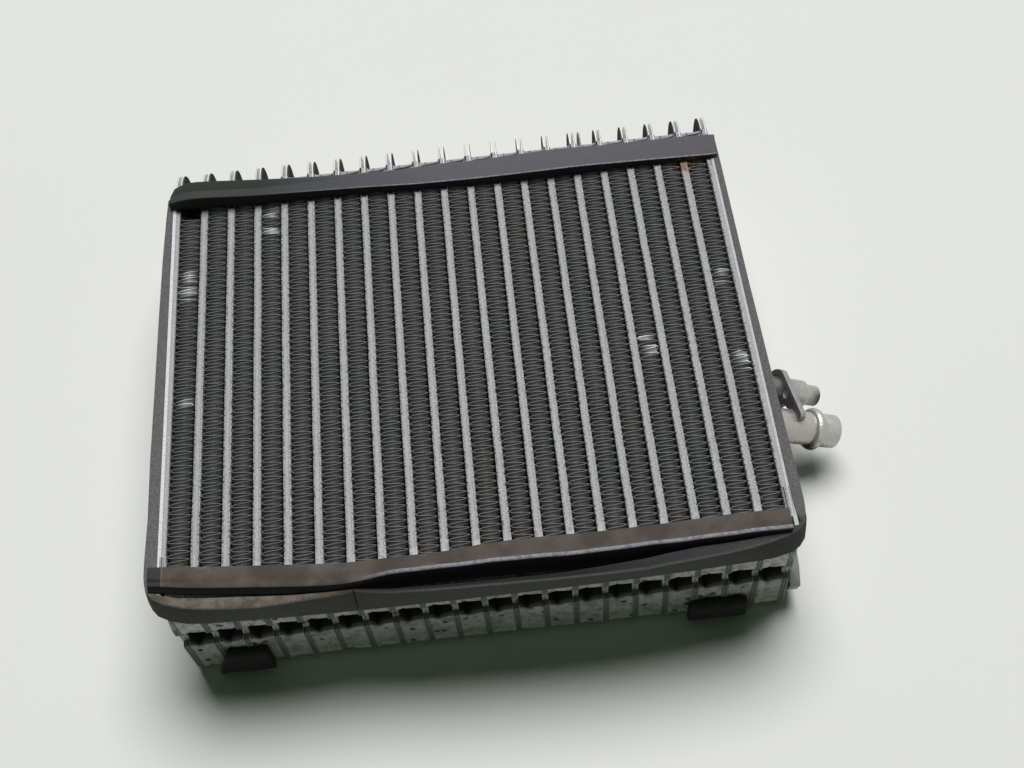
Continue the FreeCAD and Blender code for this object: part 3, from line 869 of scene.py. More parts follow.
def cup_ring(tank, margin, dip, end, radius):
    """The outline of one drawn cup at +Y, with rounded corners, a margin inside its lobe and a dipped top."""
    low = (FAR_CUP_FOOT if end > 0 else NEAR_CUP_FOOT) + margin
    high = TANK_DEPTH - margin - dip
    wall = (FAR_FRONT_WALL if tank == "front" else TANK_WALL) if end > 0 else NEAR_WALL
    wall -= margin
    root = (TANK_ROOT if end > 0 else NEAR_ROOT) + max(margin, 0.0)
    if tank == "rear":
        points = arc((wall - CUP_CORNER, low + CUP_CORNER), CUP_CORNER, -90, 0, 3)
        points += arc((wall - CUP_CORNER, high - CUP_CORNER), CUP_CORNER, 0, 90, 3)
    else:
        big = radius - CUP_INSET
        points = arc((wall - CUP_CORNER, CORE_DEPTH - high + CUP_CORNER), CUP_CORNER, -90, 0, 3)
        points += arc((wall - big, CORE_DEPTH - low - big), big, 0, 90, 6)
    last = points[-1][1]
    return points + [(root, last), (root, points[0][1])]


def tank_cup(bm, tank, end, reach, radius):
    """One cup, with a fillet at its foot, drafted walls and a rounded crown."""
    side = math.copysign(1.0, reach)
    height = abs(reach)
    if end > 0:
        rings = [(0.35, -0.7, 0.0), (0.8, -0.15, 0.0), (1.3, 0.0, 0.0), (height - 1.0, 0.75, 0.75),
                 (height - 0.35, 1.1, 1.1), (height - 0.02, 2.0, 2.0)]
    else:
        notch = POCKET_NOTCH if tank == "rear" else NEAR_FRONT_DIP
        rings = [(1.0, -0.5, 0.0), (1.25, -0.1, 0.0), (1.6, 0.0, 0.0), (height * 0.6, 0.04, 0.2 * notch),
                 (height - 0.6, 0.12, 0.9 * notch), (height - 0.02, 0.32, notch)]
    sections = []
    for place, margin, dip in rings:
        outline = cup_ring(tank, margin, dip, end, radius)
        sections.append([Vector((side * place, end * y, z)) for y, z in outline])
    loft(bm, sections)


def tube_bar(bm, sizes, rng, low, high, inner):
    """The flat tube's long bar, with rounded rims and the seam between its two plates."""
    rim = bm.verts.layers.float.new("rim")
    half = sizes.tube_half
    seam = sizes.seam_width / 2
    top = CORE_DEPTH
    profile = [(half, 0.8), (half, top - 0.5), (half - 0.12, top - 0.1), (half - 0.35, top)]
    profile += [(SEAM_SHIFT + seam, top - 0.04), (SEAM_SHIFT, top - sizes.seam_depth)]
    profile += [(SEAM_SHIFT - seam, top - 0.04), (-0.5, top), (0.35 - half, top)]
    profile += [(0.12 - half, top - 0.1), (-half, top - 0.5)]
    profile += [(-half, 0.8), (0.25 - half, 0.2), (0.6 - half, 0.0), (-0.2, 0.0), (0.0, sizes.seam_depth)]
    profile += [(0.2, 0.0), (half - 0.6, 0.0), (half - 0.25, 0.2)]
    sections = []
    marks = []
    for y in steps(low, high, 16):
        sway = rng.uniform(-TUBE_SWAY, TUBE_SWAY) if low < y < high else 0.0
        sections.append([Vector((min(x, inner) + sway, y, z)) for x, z in profile])
        marks.append([{rim: float(z > top - 1.0 and abs(x) > half - 0.4)} for x, z in profile])
    loft(bm, sections, marks)


class CORE_OT_tubes(bpy.types.Operator):
    """Build the flat tubes with their seams, leaning tabs and drawn tank cups"""

    bl_idname = "core.tubes"
    bl_label = "Tubes"

    def execute(self, context):
        sizes = context.scene.core_sizes
        for index, name in enumerate(TUBES):
            rng = random.Random(100 + index)
            bm = bmesh.new()
            bm.verts.layers.float.new("outer")
            bm.verts.layers.float.new("inner")
            inner = FIRST_TUBE_INNER if index == 0 else sizes.tube_half
            tube_bar(bm, sizes, rng, 0.4 - NEAR_ROOT, TANK_ROOT + 0.5, inner)
            if index == LOOSE_TAB:
                outline = tab_outline(sizes.far_radius, TANK_ROOT - LEAF_ROOT)
                loft(bm, [[Vector((place, y, z)) for y, z in shrunk(outline, margin)]
                          for place, margin in LOOSE_LEAF])
            last = index in (0, len(TUBES) - 1)
            closed_tabs(bm, END_RADIUS if last else sizes.near_radius, sizes)
            for side in (-1, 1):
                tab_leaf(bm, 1, side, sizes.far_radius, sizes)
            for end in (-1, 1):
                radius = sizes.far_radius if end > 0 else sizes.near_radius
                for tank in ("rear", "front"):
                    if index > 0:
                        tank_cup(bm, tank, end, DEEP, radius)
                    if index < len(TUBES) - 1:
                        tank_cup(bm, tank, end, SHALLOW, radius)
            bmesh.ops.recalc_face_normals(bm, faces=bm.faces)
            bmesh.ops.translate(bm, vec=(tube_middle(index, sizes), 0, 0), verts=bm.verts)
            settle(bm, "plate_pair_%02d" % index, "tube_sheet", [name])
        return {"FINISHED"}


# Fins

# X, Y, half length and brightness of each leg that was bent over and rubbed bare, by the number of its fin
BENT_LEGS = {
    0: [(-110.4, 46.7, 1.1, 0.8), (-110.6, 45.1, 1.3, 0.7), (-110.5, 43.8, 1.3, 0.7),
        (-110.3, 42.5, 1.3, 0.7), (-109.8, 41.1, 1.5, 0.6), (-110.8, 38.6, 3.4, 0.45),
        (-110.5, 36.5, 3.0, 0.75), (-110.3, 34.9, 3.4, 0.7), (-111.0, 33.0, 2.5, 0.5),
        (-109.5, -17.2, 1.2, 0.8), (-109.1, -18.4, 1.6, 1.0)],
    3: [(-75.9, 73.4, 1.5, 1.0), (-73.5, 75.0, 1.1, 0.45), (-76.6, 65.8, 2.2, 0.7), (-74.8, 63.9, 3.0, 1.0)],
    16: [(73.5, -11.6, 3.2, 1.0), (77.3, -15.8, 2.4, 1.0), (77.9, -17.3, 2.0, 0.8), (77.4, -18.9, 2.0, 0.7)],
    19: [(112.0, -23.8, 1.9, 1.0), (111.9, -25.5, 1.9, 0.9), (113.3, -27.2, 1.9, 0.9),
         (113.3, -29.0, 1.9, 0.9), (113.3, -32.0, 1.5, 0.6), (111.1, 16.3, 1.0, 0.9), (110.8, 14.8, 0.8, 0.7),
         (108.8, 10.5, 2.4, 0.55)],
}
# Share across a leg, and the share of its step gained there
LEG_SHAPE = ((0.0, 0.0), (0.15, 0.33), (0.5, 0.5), (0.85, 0.67))
# Height, and how far the louvres lean towards the near end there
FIN_LEVELS = ((59.4, 0.0), (58.9, 0.05), (57.9, 1.0), (57.5, -0.25), (56.2, 0.7), (4.0, 0.0), (1.6, 0.5),
              (0.6, 0.0))
FIN_TOP = FIN_LEVELS[0][0]
# Bent legs lie over above this level, by this far along and down
MATTED = 57.6
MATTED_SHIFT = 0.9
MATTED_SINK = 0.45
# How much the crests wander, how much of that is kept from leg to leg, and how uneven the rims are
CREST_DRIFT = 0.13
DRIFT_KEPT = 0.7
UNEVEN = 0.05
RIM_LOSS = 0.12
# Share of the crests' painted shade at the points beside a crest
NEAR_CREST_SHADE = 0.6
FIN_GAP = 0.12
FIN_END = 91.6
FIRST_FIN_END = 75.6


def fin_strip(bm, low, high, start, end, sizes, rng, bent):
    """One folded fin between two tubes, with louvres that lean and crests that wander."""
    crest_shade = bm.verts.layers.float.new("crest_shade")
    bare = bm.verts.layers.float.new("bare")
    legs = round((end - start) / sizes.fin_leg)
    step = (end - start) / legs
    rubbed = {}
    for x, y, half, level in bent:
        rubbed.setdefault(math.floor((y - start) / step), []).append((x, half, level))
    verts = []
    drift = 0.0
    for leg in range(legs + 1):
        y = start + leg * step
        drift = DRIFT_KEPT * drift + rng.uniform(-CREST_DRIFT, CREST_DRIFT)
        for share, gain in LEG_SHAPE if leg < legs else LEG_SHAPE[:1]:
            across = low + (high - low) * (share if leg % 2 == 0 else 1 - share)
            wander = drift * math.sin(math.pi * share) + rng.uniform(-UNEVEN, UNEVEN)
            vert = bm.verts.new((across, y + step * gain + wander, FIN_TOP))
            # The crest mark is 1 at a crest, where the fins are painted in shade, smaller beside it and 0 in
            # the middle of a leg.
            vert[crest_shade] = 1.0 if share == 0.0 else NEAR_CREST_SHADE * (share != 0.5)
            if share > 0.0:
                for x, half, level in rubbed.get(leg, []):
                    vert[bare] = max(vert[bare], level * max(0.0, 1.15 - abs(across - x) / (half + 1.6)))
            verts.append(vert)
    edges = [bm.edges.new(pair) for pair in zip(verts, verts[1:])]
    columns = [verts]
    for level, lean in FIN_LEVELS[1:]:
        made = bmesh.ops.extrude_edge_only(bm, edges=edges)["geom"]
        edges = [item for item in made if isinstance(item, bmesh.types.BMEdge)]
        fresh = [item for item in made if isinstance(item, bmesh.types.BMVert)]
        for vert in fresh:
            vert.co.z = level
        columns.append(fresh)
    for column, (level, lean) in zip(columns, FIN_LEVELS):
        for vert in column:
            if vert[crest_shade] < 1.0:
                vert.co.y -= lean * sizes.louvre
            if column is verts:
                vert.co.z += rng.uniform(-RIM_LOSS, UNEVEN) * (1.0 if vert[crest_shade] < 1.0 else 0.3)
            if level > MATTED and vert[bare] > 0.0:
                sink = (level - MATTED) / (FIN_TOP - MATTED) * min(1.0, vert[bare])
                vert.co.y += MATTED_SHIFT * sink
                vert.co.z -= MATTED_SINK * sink
            elif level < MATTED:
                vert[bare] = 0.0


class CORE_OT_fins(bpy.types.Operator):
    """Fold the air fins, one strip between every two tubes"""

    bl_idname = "core.fins"
    bl_label = "Fins"

    def execute(self, context):
        sizes = context.scene.core_sizes
        for index, name in enumerate(FINS):
            rng = random.Random(500 + index)
            low = tube_middle(index, sizes) + sizes.tube_half + FIN_GAP
            high = low + sizes.tube_pitch - 2 * (sizes.tube_half + FIN_GAP)
            if index == 0:
                low -= sizes.tube_half - FIRST_TUBE_INNER
            bm = bmesh.new()
            fin_strip(bm, low, high, 0.5 - NEAR_ROOT, FIRST_FIN_END if index == 0 else FIN_END, sizes, rng,
                      BENT_LEGS.get(index, []))
            bmesh.ops.solidify(bm, geom=bm.faces[:], thickness=sizes.fin_sheet)
            bmesh.ops.recalc_face_normals(bm, faces=bm.faces)
            settle(bm, "air_fin_%02d" % (index + 1), "fin_sheet", [name], smooth=50.0)
        return {"FINISHED"}


# Covers and the side plate

# Start and end, in YZ, of each line that a cover's corners are cut along
CORNER_CUTS = [((-84.0, 60.0), (-94.5, 57.0)), ((-89.0, 60.0), (-99.5, 46.0)),
               ((-97.0, 50.0), (-103.0, 44.0)), ((-102.5, 46.0), (-102.5, 0.0)),
               ((107.5, 42.0), (87.0, 60.4))]
# Inner and outer X of the bright hem along the top of each cover
HEMS = {"end_cover_left": (-118.5, -116.75), "end_cover_right": (116.4, 118.0)}
HEM_RUN = (-101.0, 84.0)
HEM_RISE = 0.05
COVER_EDGE = 0.3
SIDE_PLATE_EDGE = 0.45


def trim(bm, start, end):
    """Cuts a flat sheet's corner off beyond a line in YZ, and closes the cut."""
    along = Vector((0.0, end[0] - start[0], end[1] - start[1])).normalized()
    rim = cut_off(bm, (0.0, start[0], start[1]), Vector((0.0, along.z, -along.y)))
    bmesh.ops.holes_fill(bm, edges=rim)


def hem(bm, low, high):
    """A rolled edge along the top of a cover, from the near strip to the far strip."""
    top = CORE_DEPTH + HEM_RISE
    profile = [(low, top - 0.8), (high, top - 0.8), (high, top - 0.15), (high - 0.2, top), (low + 0.2, top),
               (low, top - 0.15)]
    loft(bm, [[Vector((x, y, z)) for x, z in profile] for y in steps(*HEM_RUN, 12)])


class CORE_OT_covers(bpy.types.Operator):
    """Build the two end covers and the side plate with its two channels"""

    bl_idname = "core.covers"
    bl_label = "Covers and side plate"

    def execute(self, context):
        for name in ("end_cover_left", "end_cover_right", "side_passage_plate"):
            bm = cad_copy(name)
            if name in HEMS:
                for start, end in CORNER_CUTS:
                    trim(bm, start, end)
            soften(bm, COVER_EDGE if name in HEMS else SIDE_PLATE_EDGE)
            if name in HEMS:
                hem(bm, *HEMS[name])
                bmesh.ops.recalc_face_normals(bm, faces=bm.faces)
            settle(bm, "finished_" + name, "cover_sheet", [name])
        return {"FINISHED"}


# Pipes

SIDE_FACE = 117.6
CHANNEL_TOP = 123.0
LARGE_RADIUS = 7.0
BEAD_PLACE = 25.6
BEAD_RADIUS = 2.1
BEAD_HEIGHT = 0.857
# Y and Z of each pipe's root, and distance along and radius of each corner of its profile
LARGE_ROOT = (-40.0, 30.0)
BEFORE_BEAD = [(0.0, 7.0), (14.0, 7.0), (22.6, 7.0)]
AFTER_BEAD = [
    (28.2, 7.0), (29.0, 6.85), (30.0, 7.0), (35.3, 7.0), (35.7, 6.85), (36.0, 6.45), (36.0, 6.2), (35.5, 5.8),
    (10.0, 5.8), (10.0, 4.6), (0.0, 4.6)]
SMALL_ROOT = (-21.0, 26.7)
SMALL_PROFILE = [
    (0.0, 5.9), (14.0, 5.9), (24.9, 5.9), (25.6, 5.7), (26.0, 5.1), (26.3, 4.55), (26.8, 4.4), (31.8, 4.4),
    (32.3, 4.25), (32.6, 3.9), (32.6, 3.5), (32.2, 3.2), (10.0, 3.2), (10.0, 2.4), (0.0, 2.4)]
# Distance along, shift from the axis and reach of each dark patch; the small pipe's patch at its root is
# painted shade, the others are stains
LARGE_STAINS = [(24.0, (-1.0, -6.5, -5.0), 7.0)]
SMALL_STAINS_AND_SHADE = [(32.0, (1.0, -4.0, 0.5), 6.5), (5.0, (0.0, 0.0, 0.0), 12.5)]
RETAINER_EDGE = 0.35


def pipe_frame(sizes, place):
    """The root, axis and upward direction of a pipe."""
    tilt = math.radians(sizes.pipe_tilt)
    axis = Vector((math.cos(tilt), 0.0, -math.sin(tilt)))
    rise = Vector((math.sin(tilt), 0.0, math.cos(tilt)))
    return Vector((SIDE_FACE, place[0], place[1])), axis, rise


def spun_pipe(sizes, place, profile):
    """A pipe turned from its profile of distance along and radius, cut off flush with its channel."""
    root, axis, rise = pipe_frame(sizes, place)
    bm = bmesh.new()
    verts = [bm.verts.new(root + axis * along + rise * radius) for along, radius in profile]
    edges = [bm.edges.new(pair) for pair in zip(verts, verts[1:] + verts[:1])]
    bmesh.ops.spin(bm, geom=verts + edges, cent=root, axis=axis, dvec=(0, 0, 0), angle=2 * math.pi, steps=56,
                   use_merge=True)
    bmesh.ops.remove_doubles(bm, verts=bm.verts, dist=0.001)
    bmesh.ops.bridge_loops(bm, edges=cut_off(bm, (CHANNEL_TOP, 0, 0), (-1, 0, 0)))
    bmesh.ops.recalc_face_normals(bm, faces=bm.faces)
    return bm


def stained_pipe(sizes, place, profile, stains, name, node):
    """A pipe with the places near some points marked dark, as stains and as painted shade."""
    bm = spun_pipe(sizes, place, profile)
    root, axis, rise = pipe_frame(sizes, place)
    layer = bm.verts.layers.float.new("stain_and_shade")
    for vert in bm.verts:
        for along, shift, reach in stains:
            near = 1.0 - (vert.co - (root + axis * along + Vector(shift))).length / reach
            vert[layer] = max(vert[layer], min(1.0, 2.0 * near))
    settle(bm, name, "pipe_aluminium", [node])


class CORE_OT_pipes(bpy.types.Operator):
    """Turn the two pipe stubs, and finish the retainer plate that holds them"""

    bl_idname = "core.pipes"
    bl_label = "Pipes and retainer"

    def execute(self, context):
        sizes = context.scene.core_sizes
        bead = [(along, LARGE_RADIUS + (radius - LARGE_RADIUS) * BEAD_HEIGHT)
                for along, radius in arc((BEAD_PLACE, LARGE_RADIUS), BEAD_RADIUS, 180, 0, 10)]
        profile = BEFORE_BEAD + bead + AFTER_BEAD
        stained_pipe(sizes, LARGE_ROOT, profile, LARGE_STAINS, "large_pipe", "suction_pipe")
        stained_pipe(sizes, SMALL_ROOT, SMALL_PROFILE, SMALL_STAINS_AND_SHADE, "small_pipe", "liquid_pipe")
        bm = cad_copy("retainer_plate")
        soften(bm, RETAINER_EDGE)
        settle(bm, "pipe_retainer", "retainer_sheet", ["retainer_plate"])
        return {"FINISHED"}


# Foam tape

# XY of the tape's inner rim, of its outer lip and of its foot, from the far end to where its two lengths meet
LEFT_COURSE = [
    (-118.8, 86.4, -120.6, 86.4, -121.0, 86.4),
    (-118.8, 76.0, -121.1, 76.0, -121.3, 76.0),
    (-118.8, 54.0, -121.8, 54.0, -121.8, 54.0),
    (-118.8, 23.0, -122.2, 23.0, -122.2, 23.0),
    (-118.8, -16.0, -122.5, -16.0, -122.5, -16.0),
    (-118.8, -43.0, -122.8, -43.0, -122.7, -43.0),
    (-118.8, -69.0, -122.6, -69.0, -122.6, -69.0),
    (-118.8, -85.0, -123.1, -85.0, -122.8, -86.0),
    (-118.8, -92.5, -123.1, -92.5, -122.8, -95.5),
    (-118.8, -96.0, -122.7, -95.8, -122.4, -99.5),
    (-118.7, -98.0, -121.7, -98.8, -121.4, -102.4),
    (-118.2, -99.6, -119.6, -101.5, -119.3, -104.9),
    (-113.5, -101.6, -114.8, -104.2, -115.2, -107.0),
    (-107.5, -102.5, -108.5, -106.2, -108.9, -108.6),
    (-99.4, -103.4, -100.5, -107.6, -100.5, -109.0),
    (-90.0, -104.1, -90.2, -108.6, -90.2, -109.0),
    (-81.0, -105.0, -81.1, -109.3, -81.1, -109.0),
    (-72.0, -105.7, -72.0, -109.0, -72.0, -109.0),
    (-63.0, -106.2, -62.9, -108.5, -62.9, -109.0),
    (-55.0, -106.4, -55.0, -108.1, -55.0, -109.0),
    (-50.0, -106.4, -50.0, -107.6, -50.0, -109.0),
    (-46.2, -106.2, -46.2, -107.0, -46.2, -109.0),
]

RIGHT_COURSE = [
    (118.8, 86.4, 119.9, 86.4, 120.2, 86.4),
    (118.8, 74.0, 120.1, 74.0, 120.4, 74.0),
    (118.8, 40.0, 120.2, 40.0, 120.5, 40.0),
    (118.8, 10.0, 120.3, 10.0, 120.6, 10.0),
    (118.8, -10.0, 120.6, -10.0, 120.8, -10.0),
    (118.8, -29.0, 120.8, -29.0, 121.0, -29.0),
    (118.8, -60.0, 121.3, -60.0, 121.4, -60.0),
    (118.8, -83.0, 121.7, -83.0, 121.7, -83.0),
    (118.8, -91.0, 121.8, -91.0, 121.7, -94.0),
    (118.8, -96.0, 121.4, -96.0, 121.5, -100.0),
    (118.6, -99.0, 120.2, -99.8, 120.6, -103.0),
    (117.6, -101.2, 118.2, -102.2, 118.2, -105.9),
    (114.0, -103.0, 114.4, -104.3, 114.4, -107.7),
    (108.0, -103.6, 108.4, -106.0, 108.4, -108.8),
    (99.5, -104.4, 100.0, -107.7, 100.0, -109.0),
    (90.0, -104.9, 90.0, -109.0, 90.0, -109.0),
    (81.0, -105.1, 81.0, -109.8, 81.0, -109.0),
    (70.0, -106.2, 70.0, -110.6, 70.0, -109.0),
    (60.0, -107.4, 60.0, -111.5, 60.0, -109.0),
    (45.0, -108.4, 45.0, -111.6, 45.0, -109.0),
    (28.0, -109.2, 28.0, -111.5, 28.0, -109.0),
    (12.0, -109.0, 12.0, -111.1, 12.0, -109.0),
    (-2.5, -108.8, -2.5, -110.7, -2.5, -109.0),
    (-17.0, -108.5, -17.0, -110.3, -17.0, -109.0),
    (-32.0, -107.9, -32.0, -109.4, -32.0, -109.0),
    (-40.0, -107.0, -40.0, -108.1, -40.0, -109.0),
    (-45.8, -106.2, -45.8, -107.0, -45.8, -109.0),
]

TAPE_STEP = 6.0
# Y beyond which the tape runs along the near end
END_RUN = -96.5
INNER_TOP = 56.5
LOBE_DEPTH = 10.0
BAND_BOTTOM = 47.5
BAND_SAG = 1.9
CORNER_LIFT = 6.6
LIFT_CURVE = 2.5
HALF_WIDTH = 120.0
# Y from the near corner's end to where the side's own height holds
SIDE_RUN = (-96.0, -76.0)
FOAM_RISE = 0.35
# How far the tape laps over the covers, and Y from where that starts to where it is full
LEFT_HOLD = 0.6
RIGHT_HOLD = 1.3
HOLD_RUN = (-99.0, -95.0)
LIP_EDGE = 0.45
# Share down the outer wall, and how far the wall bulges there
WALL_BULGE = ((0.2, 0.15), (0.4, 0.35), (0.7, 0.25), (0.92, 0.05))
FOOT_SETBACK = 0.8


def lobe_line(z):
    """How far in -Y the near lobes reach at a height."""
    over = max(0.0, z - (CORE_DEPTH - LOBE_DEPTH))
    return -(TAB_TIP - LOBE_DEPTH + math.sqrt(max(0.0, LOBE_DEPTH ** 2 - over * over)))


def band_bottom(foot):
    """How far down the tape reaches: lower in the middle of the near end, higher at its corners."""
    end_share = 1.0 - share_of(foot.y, *SIDE_RUN)
    return BAND_BOTTOM + end_share * (CORNER_LIFT * (abs(foot.x) / HALF_WIDTH) ** LIFT_CURVE - BAND_SAG)


def tape_section(inner, outer, foot, end_run):
    """The tape's section at one place of its course, from the inner rim round by the outside."""
    top = CORE_DEPTH + FOAM_RISE
    hold = share_of(inner.y, *HOLD_RUN) * (RIGHT_HOLD if inner.x > 0 else LEFT_HOLD)
    rim = Vector((inner.x - math.copysign(hold, inner.x), inner.y, top))
    lip = Vector((outer.x, outer.y, top))
    bottom = band_bottom(foot)
    low = Vector((foot.x, foot.y, bottom))
    out = lip - rim
    width = out.length
    out.normalize()
    cut = {"cut": float(end_run)}
    edge = min(LIP_EDGE, width / 4)
    points = [rim + Vector((0, 0, -0.25)), rim + out * min(0.4, width / 4), rim + out * width * 0.5]
    points += [lip - out * 2 * edge, lip - out * edge, lip + Vector((0, 0, -0.3)), lip + Vector((0, 0, -0.8))]
    # The lip mark is where a highlight is painted along the top edge of the wall.
    marks = [cut, cut, cut, cut, {**cut, "lip": 1.0}, {"lip": 0.7}]
    points += [lip.lerp(low, share) + out * bulge for share, bulge in WALL_BULGE] + [low]
    levels = steps(bottom, INNER_TOP, 4)[1:-1]
    if end_run:
        back = foot.y + FOOT_SETBACK
        points.append(Vector((inner.x, max(-TAB_TIP, back), bottom)))
        points += [Vector((inner.x, max(min(lobe_line(level), inner.y + 3.0), back), level))
                   for level in levels]
    else:
        points.append(Vector((inner.x, foot.y if foot.y > SIDE_RUN[0] else inner.y, bottom)))
        points += [Vector((inner.x, inner.y, level)) for level in levels]
    points += [Vector((inner.x, inner.y, CORE_DEPTH - 0.4)), Vector((rim.x, rim.y, CORE_DEPTH + 0.06))]
    return points, marks + [{}] * (len(points) - len(marks))


def tape(course, name, node):
    """One length of foam tape along its whole course."""
    bm = bmesh.new()
    stations = [[Vector(row[0:2]), Vector(row[2:4]), Vector(row[4:6])] for row in course]
    fine = []
    for first, second in zip(stations, stations[1:]):
        pieces = max(1, round((second[1] - first[1]).length / TAPE_STEP))
        fine += [[a.lerp(b, piece / pieces) for a, b in zip(first, second)] for piece in range(pieces)]
    fine.append(stations[-1])
    made = [tape_section(*station, end_run=station[0].y < END_RUN) for station in fine]
    marked_loft(bm, [points for points, marks in made], [marks for points, marks in made])
    piece = settle(bm, name, "band_foam", [node])


class CORE_OT_tape(bpy.types.Operator):
    """Wrap the two lengths of foam tape round the sides and the near end"""

    bl_idname = "core.tape"
    bl_label = "Foam tape"

    def execute(self, context):
        tape(LEFT_COURSE, "foam_tape_left", "seal_band_left")
        tape(RIGHT_COURSE, "foam_tape_right", "seal_band_right")
        return {"FINISHED"}


# Front strips

# X, near foot Y, near top edge Z, far top edge Y
FAR_COURSE = [
    (-119.4, 81.9, 62.6, 91.4), (-118.4, 80.7, 65.0, 91.7), (-113.0, 80.3, 66.8, 91.6),
    (-104.0, 79.9, 67.0, 91.0), (-83.0, 78.9, 65.9, 89.8), (-58.0, 78.8, 64.6, 88.5),
    (-34.0, 78.2, 63.9, 87.7), (-12.0, 77.0, 63.6, 87.1),
    (0.0, 76.7, 63.6, 86.7), (12.0, 76.3, 63.7, 86.2), (24.0, 76.0, 64.0, 86.3), (46.0, 75.5, 64.8, 86.6),
    (58.0, 76.0, 64.4, 86.7), (81.0, 76.3, 63.3, 86.6), (93.0, 76.3, 62.9, 86.5), (105.0, 76.2, 62.5, 86.4),
    (116.5, 76.0, 62.2, 86.1), (119.2, 76.4, 61.9, 85.4),
]

# X, inner edge Y, outer edge Y, height of the outer edge
NEAR_COURSE = [
    (-121.0, -89.3, -98.6, 62.0), (-113.0, -90.2, -100.2, 62.6), (-105.0, -91.2, -101.7, 62.8),
    (-86.0, -93.0, -103.8, 63.0), (-68.0, -94.7, -105.7, 63.0), (-50.0, -96.4, -106.0, 63.1),
    (-40.0, -96.4, -104.6, 63.2), (-32.0, -96.3, -103.6, 63.4), (-11.0, -96.4, -103.6, 63.5),
    (0.0, -95.2, -103.6, 63.5), (16.0, -94.7, -103.8, 63.5), (46.0, -95.4, -104.4, 63.5),
    (70.0, -95.2, -103.9, 63.5), (90.0, -94.5, -103.7, 63.4), (110.0, -94.5, -103.3, 63.0),
    (115.2, -94.5, -103.0, 62.6),
]

FAR_CROWN = 63.8
FAR_SLANT = 2.2
SLANT_RUN = 9.0
NEAR_SETBACK = 1.7
NEAR_STRIP_FOOT = -99.5
# X from where a change of each strip starts to where it is full
FAR_DROOP = (0.0, -80.0)
FAR_FACET = (108.0, 119.0)
RIDGE_RUN = (-46.0, -24.0)
FOLD_RUN = (-62.0, -42.0)
SETBACK_RUN = (-40.0, -70.0)


def marked_loft(bm, sections, values):
    """A form through its sections, with named values kept on their points."""
    names = sorted({name for section in values for mark in section for name in mark})
    for name in names:
        bm.verts.layers.float.new(name)
    layers = {name: bm.verts.layers.float[name] for name in names}
    marks = [[{layers[name]: mark.get(name, 0.0) for name in names} for mark in section]
             for section in values]
    loft(bm, sections, marks)
    bmesh.ops.recalc_face_normals(bm, faces=bm.faces)


def far_stations(x, foot, high, back):
    """The far strip's section, with its raised near edge, which carries a painted highlight, its near wall in
    painted shade, and its drooping left half.
    """
    left = share_of(x, *FAR_DROOP)
    facet = share_of(x, *FAR_FACET)
    crown = max(high, FAR_CROWN)
    split = foot + (back - foot) * (1.0 - 0.62 * left)
    # The wall mark carries painted shade, the edge mark a painted highlight.
    wall = {"wall": 1.0}
    droop = {"droop": left}
    partial_droop = {"droop": 0.7 * left}
    rubbed = {"edge": 1.0 - left, **partial_droop}
    stations = (
        (foot + 0.1, 60.02, wall), (foot - 0.15, 61.0, wall), (foot - 0.05, high - 0.35, wall),
        (foot + 0.15, high - 0.08, rubbed), (foot + 0.5, high, rubbed), (foot + 0.85, high + 0.02, partial_droop),
        (split - 0.5, crown, partial_droop), (split + 0.3, crown - 0.1, droop),
        (back - 1.0, crown - 0.5 - 0.8 * left - 0.6 * facet, droop),
        (back - 0.2, crown - 0.9 - 1.0 * left - 0.8 * facet, droop),
        (back, 61.0, {"wall": 0.5}), (back - 0.2, 60.02, wall))
    lean = FAR_SLANT * max(0.0, 1.0 - (x - FAR_COURSE[0][0]) / SLANT_RUN) / (back - foot)
    return [(x + lean * (y - foot), y, z, mark) for y, z, mark in stations]


def near_stations(x, inner, outer, high):
    """The near strip's section, with its folded ridge on the right, which carries a painted highlight, and
    its walls in painted shade.
    """
    ridge = share_of(x, *RIDGE_RUN)
    fold = share_of(x, *FOLD_RUN)
    wave = 0.12 * math.sin(x / 7.0) + 0.08 * math.sin(x / 3.1)
    edge = outer + NEAR_SETBACK * share_of(x, *SETBACK_RUN) + wave * ridge
    # The wall mark carries painted shade, the edge mark a painted highlight.
    wall = {"wall": 1.0}
    bright = {"edge": ridge}
    stations = (
        (inner - 0.2, 60.02, {"wall": 0.6}), (inner, 61.0, {}), (inner - 0.2, 62.3, {}),
        (inner - 0.8, 62.8, {}), ((inner + outer) / 2, 63.0, {}), (edge + 2.6, 62.9 + 0.1 * ridge, {}),
        (edge + 1.75, high - 0.05, {}), (edge + 1.45, high + 0.12 * ridge, bright),
        (edge + 0.45, high + 0.14 * ridge, bright), (edge + 0.12, high - 0.12, {"edge": 0.5 * ridge}),
        (edge, high - 0.4, wall), (outer, 61.0, wall), (outer - 0.6 * fold, 60.1 - 1.6 * fold, wall),
        (outer - 2.3 * fold + 0.1, 60.05 - 3.7 * fold, wall),
        (outer - 2.2 * fold + 0.2, 60.03 - 4.6 * fold, wall),
        (outer - 0.8 * fold + 0.4, 60.02 - 3.0 * fold, wall),
        (outer + 1.4, 60.02 - 1.1 * fold, wall), (max(outer + 2.6, NEAR_STRIP_FOOT), 60.02, wall))
    return [(x, y, z, mark) for y, z, mark in stations]


def strip(course, count, maker, name, node):
    """A front strip along its course."""
    made = [maker(x, *between(course, x)) for x in steps(course[0][0], course[-1][0], count)]
    bm = bmesh.new()
    marked_loft(bm, [[Vector(place) for *place, mark in section] for section in made],
                [[mark for *place, mark in section] for section in made])
    settle(bm, name, "strip_foam", [node], smooth=40.0)


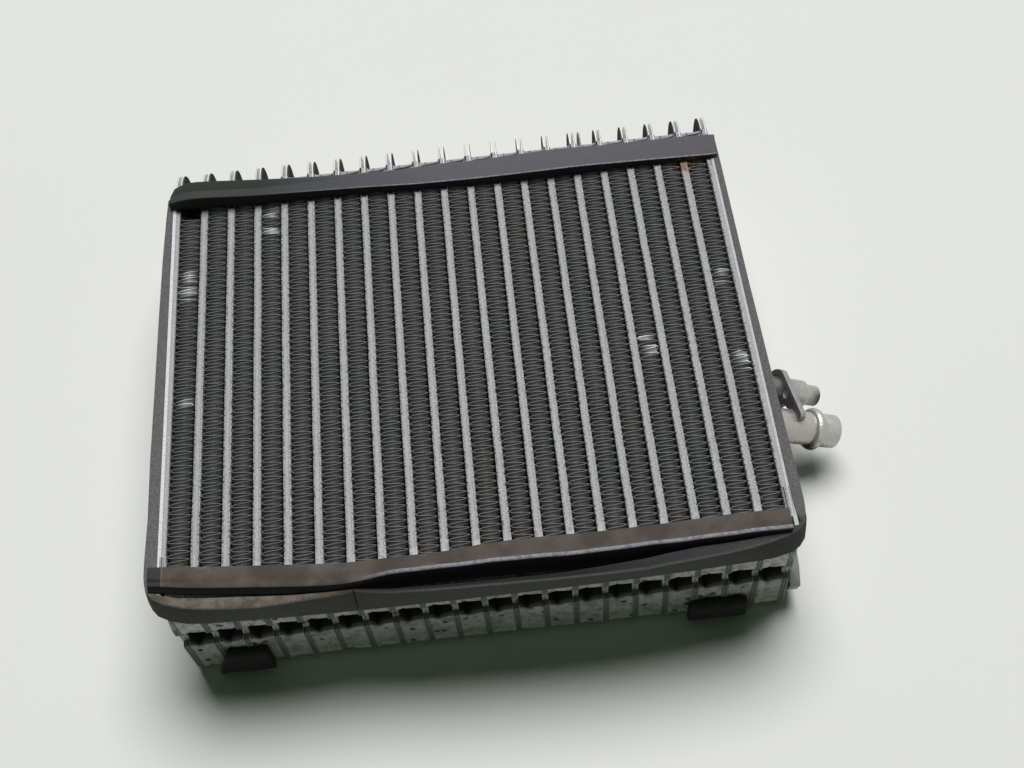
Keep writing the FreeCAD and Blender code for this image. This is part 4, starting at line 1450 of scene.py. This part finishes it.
class CORE_OT_strips(bpy.types.Operator):
    """Lay the two foam strips across the front"""

    bl_idname = "core.strips"
    bl_label = "Front strips"

    def execute(self, context):
        strip(FAR_COURSE, 60, far_stations, "front_strip_far", "face_seal_far")
        strip(NEAR_COURSE, 80, near_stations, "front_strip_near", "face_seal_near")
        return {"FINISHED"}


# Pads

# Place and direction of the slanted cut that ends the left pad
LEFT_PAD_CUT = ((-104.5, 0, 12.0), (-1, 0, 0.375))
PAD_EDGE = 0.9


class CORE_OT_pads(bpy.types.Operator):
    """Mould the two rubber pads on the rear tanks"""

    bl_idname = "core.pads"
    bl_label = "Pads"

    def execute(self, context):
        for name in ("pad_left", "pad_right"):
            bm = cad_copy(name)
            if name == "pad_left":
                bmesh.ops.holes_fill(bm, edges=cut_off(bm, *LEFT_PAD_CUT))
            soften(bm, PAD_EDGE, segments=3)
            settle(bm, "rubber_" + name, "pad_rubber", [name])
        return {"FINISHED"}


# The panel and the order of work

OPERATORS = [
    CORE_OT_materials, CORE_OT_stage, CORE_OT_tubes, CORE_OT_fins, CORE_OT_covers, CORE_OT_pipes,
    CORE_OT_tape, CORE_OT_strips, CORE_OT_pads,
]


class CORE_PT_panel(bpy.types.Panel):
    """The steps that build the evaporator core"""

    bl_idname = "CORE_PT_panel"
    bl_label = "Evaporator core"
    bl_space_type = "VIEW_3D"
    bl_region_type = "UI"
    bl_category = "Evaporator core"

    def draw(self, context):
        for operator in OPERATORS:
            self.layout.operator(operator.bl_idname)


CLASSES = [CoreSizes, CoreColours] + OPERATORS + [CORE_PT_panel]


def register():
    for kind in CLASSES:
        bpy.utils.register_class(kind)
    bpy.types.Scene.core_sizes = PointerProperty(type=CoreSizes)
    bpy.types.Scene.core_colours = PointerProperty(type=CoreColours)


def unregister():
    del bpy.types.Scene.core_colours
    del bpy.types.Scene.core_sizes
    for kind in reversed(CLASSES):
        bpy.utils.unregister_class(kind)


def main():
    register()
    bpy.ops.core.materials()
    bpy.ops.core.stage()
    bpy.ops.core.tubes()
    bpy.ops.core.fins()
    bpy.ops.core.covers()
    bpy.ops.core.pipes()
    bpy.ops.core.tape()
    bpy.ops.core.strips()
    bpy.ops.core.pads()


if __name__ == "__main__":
    main()
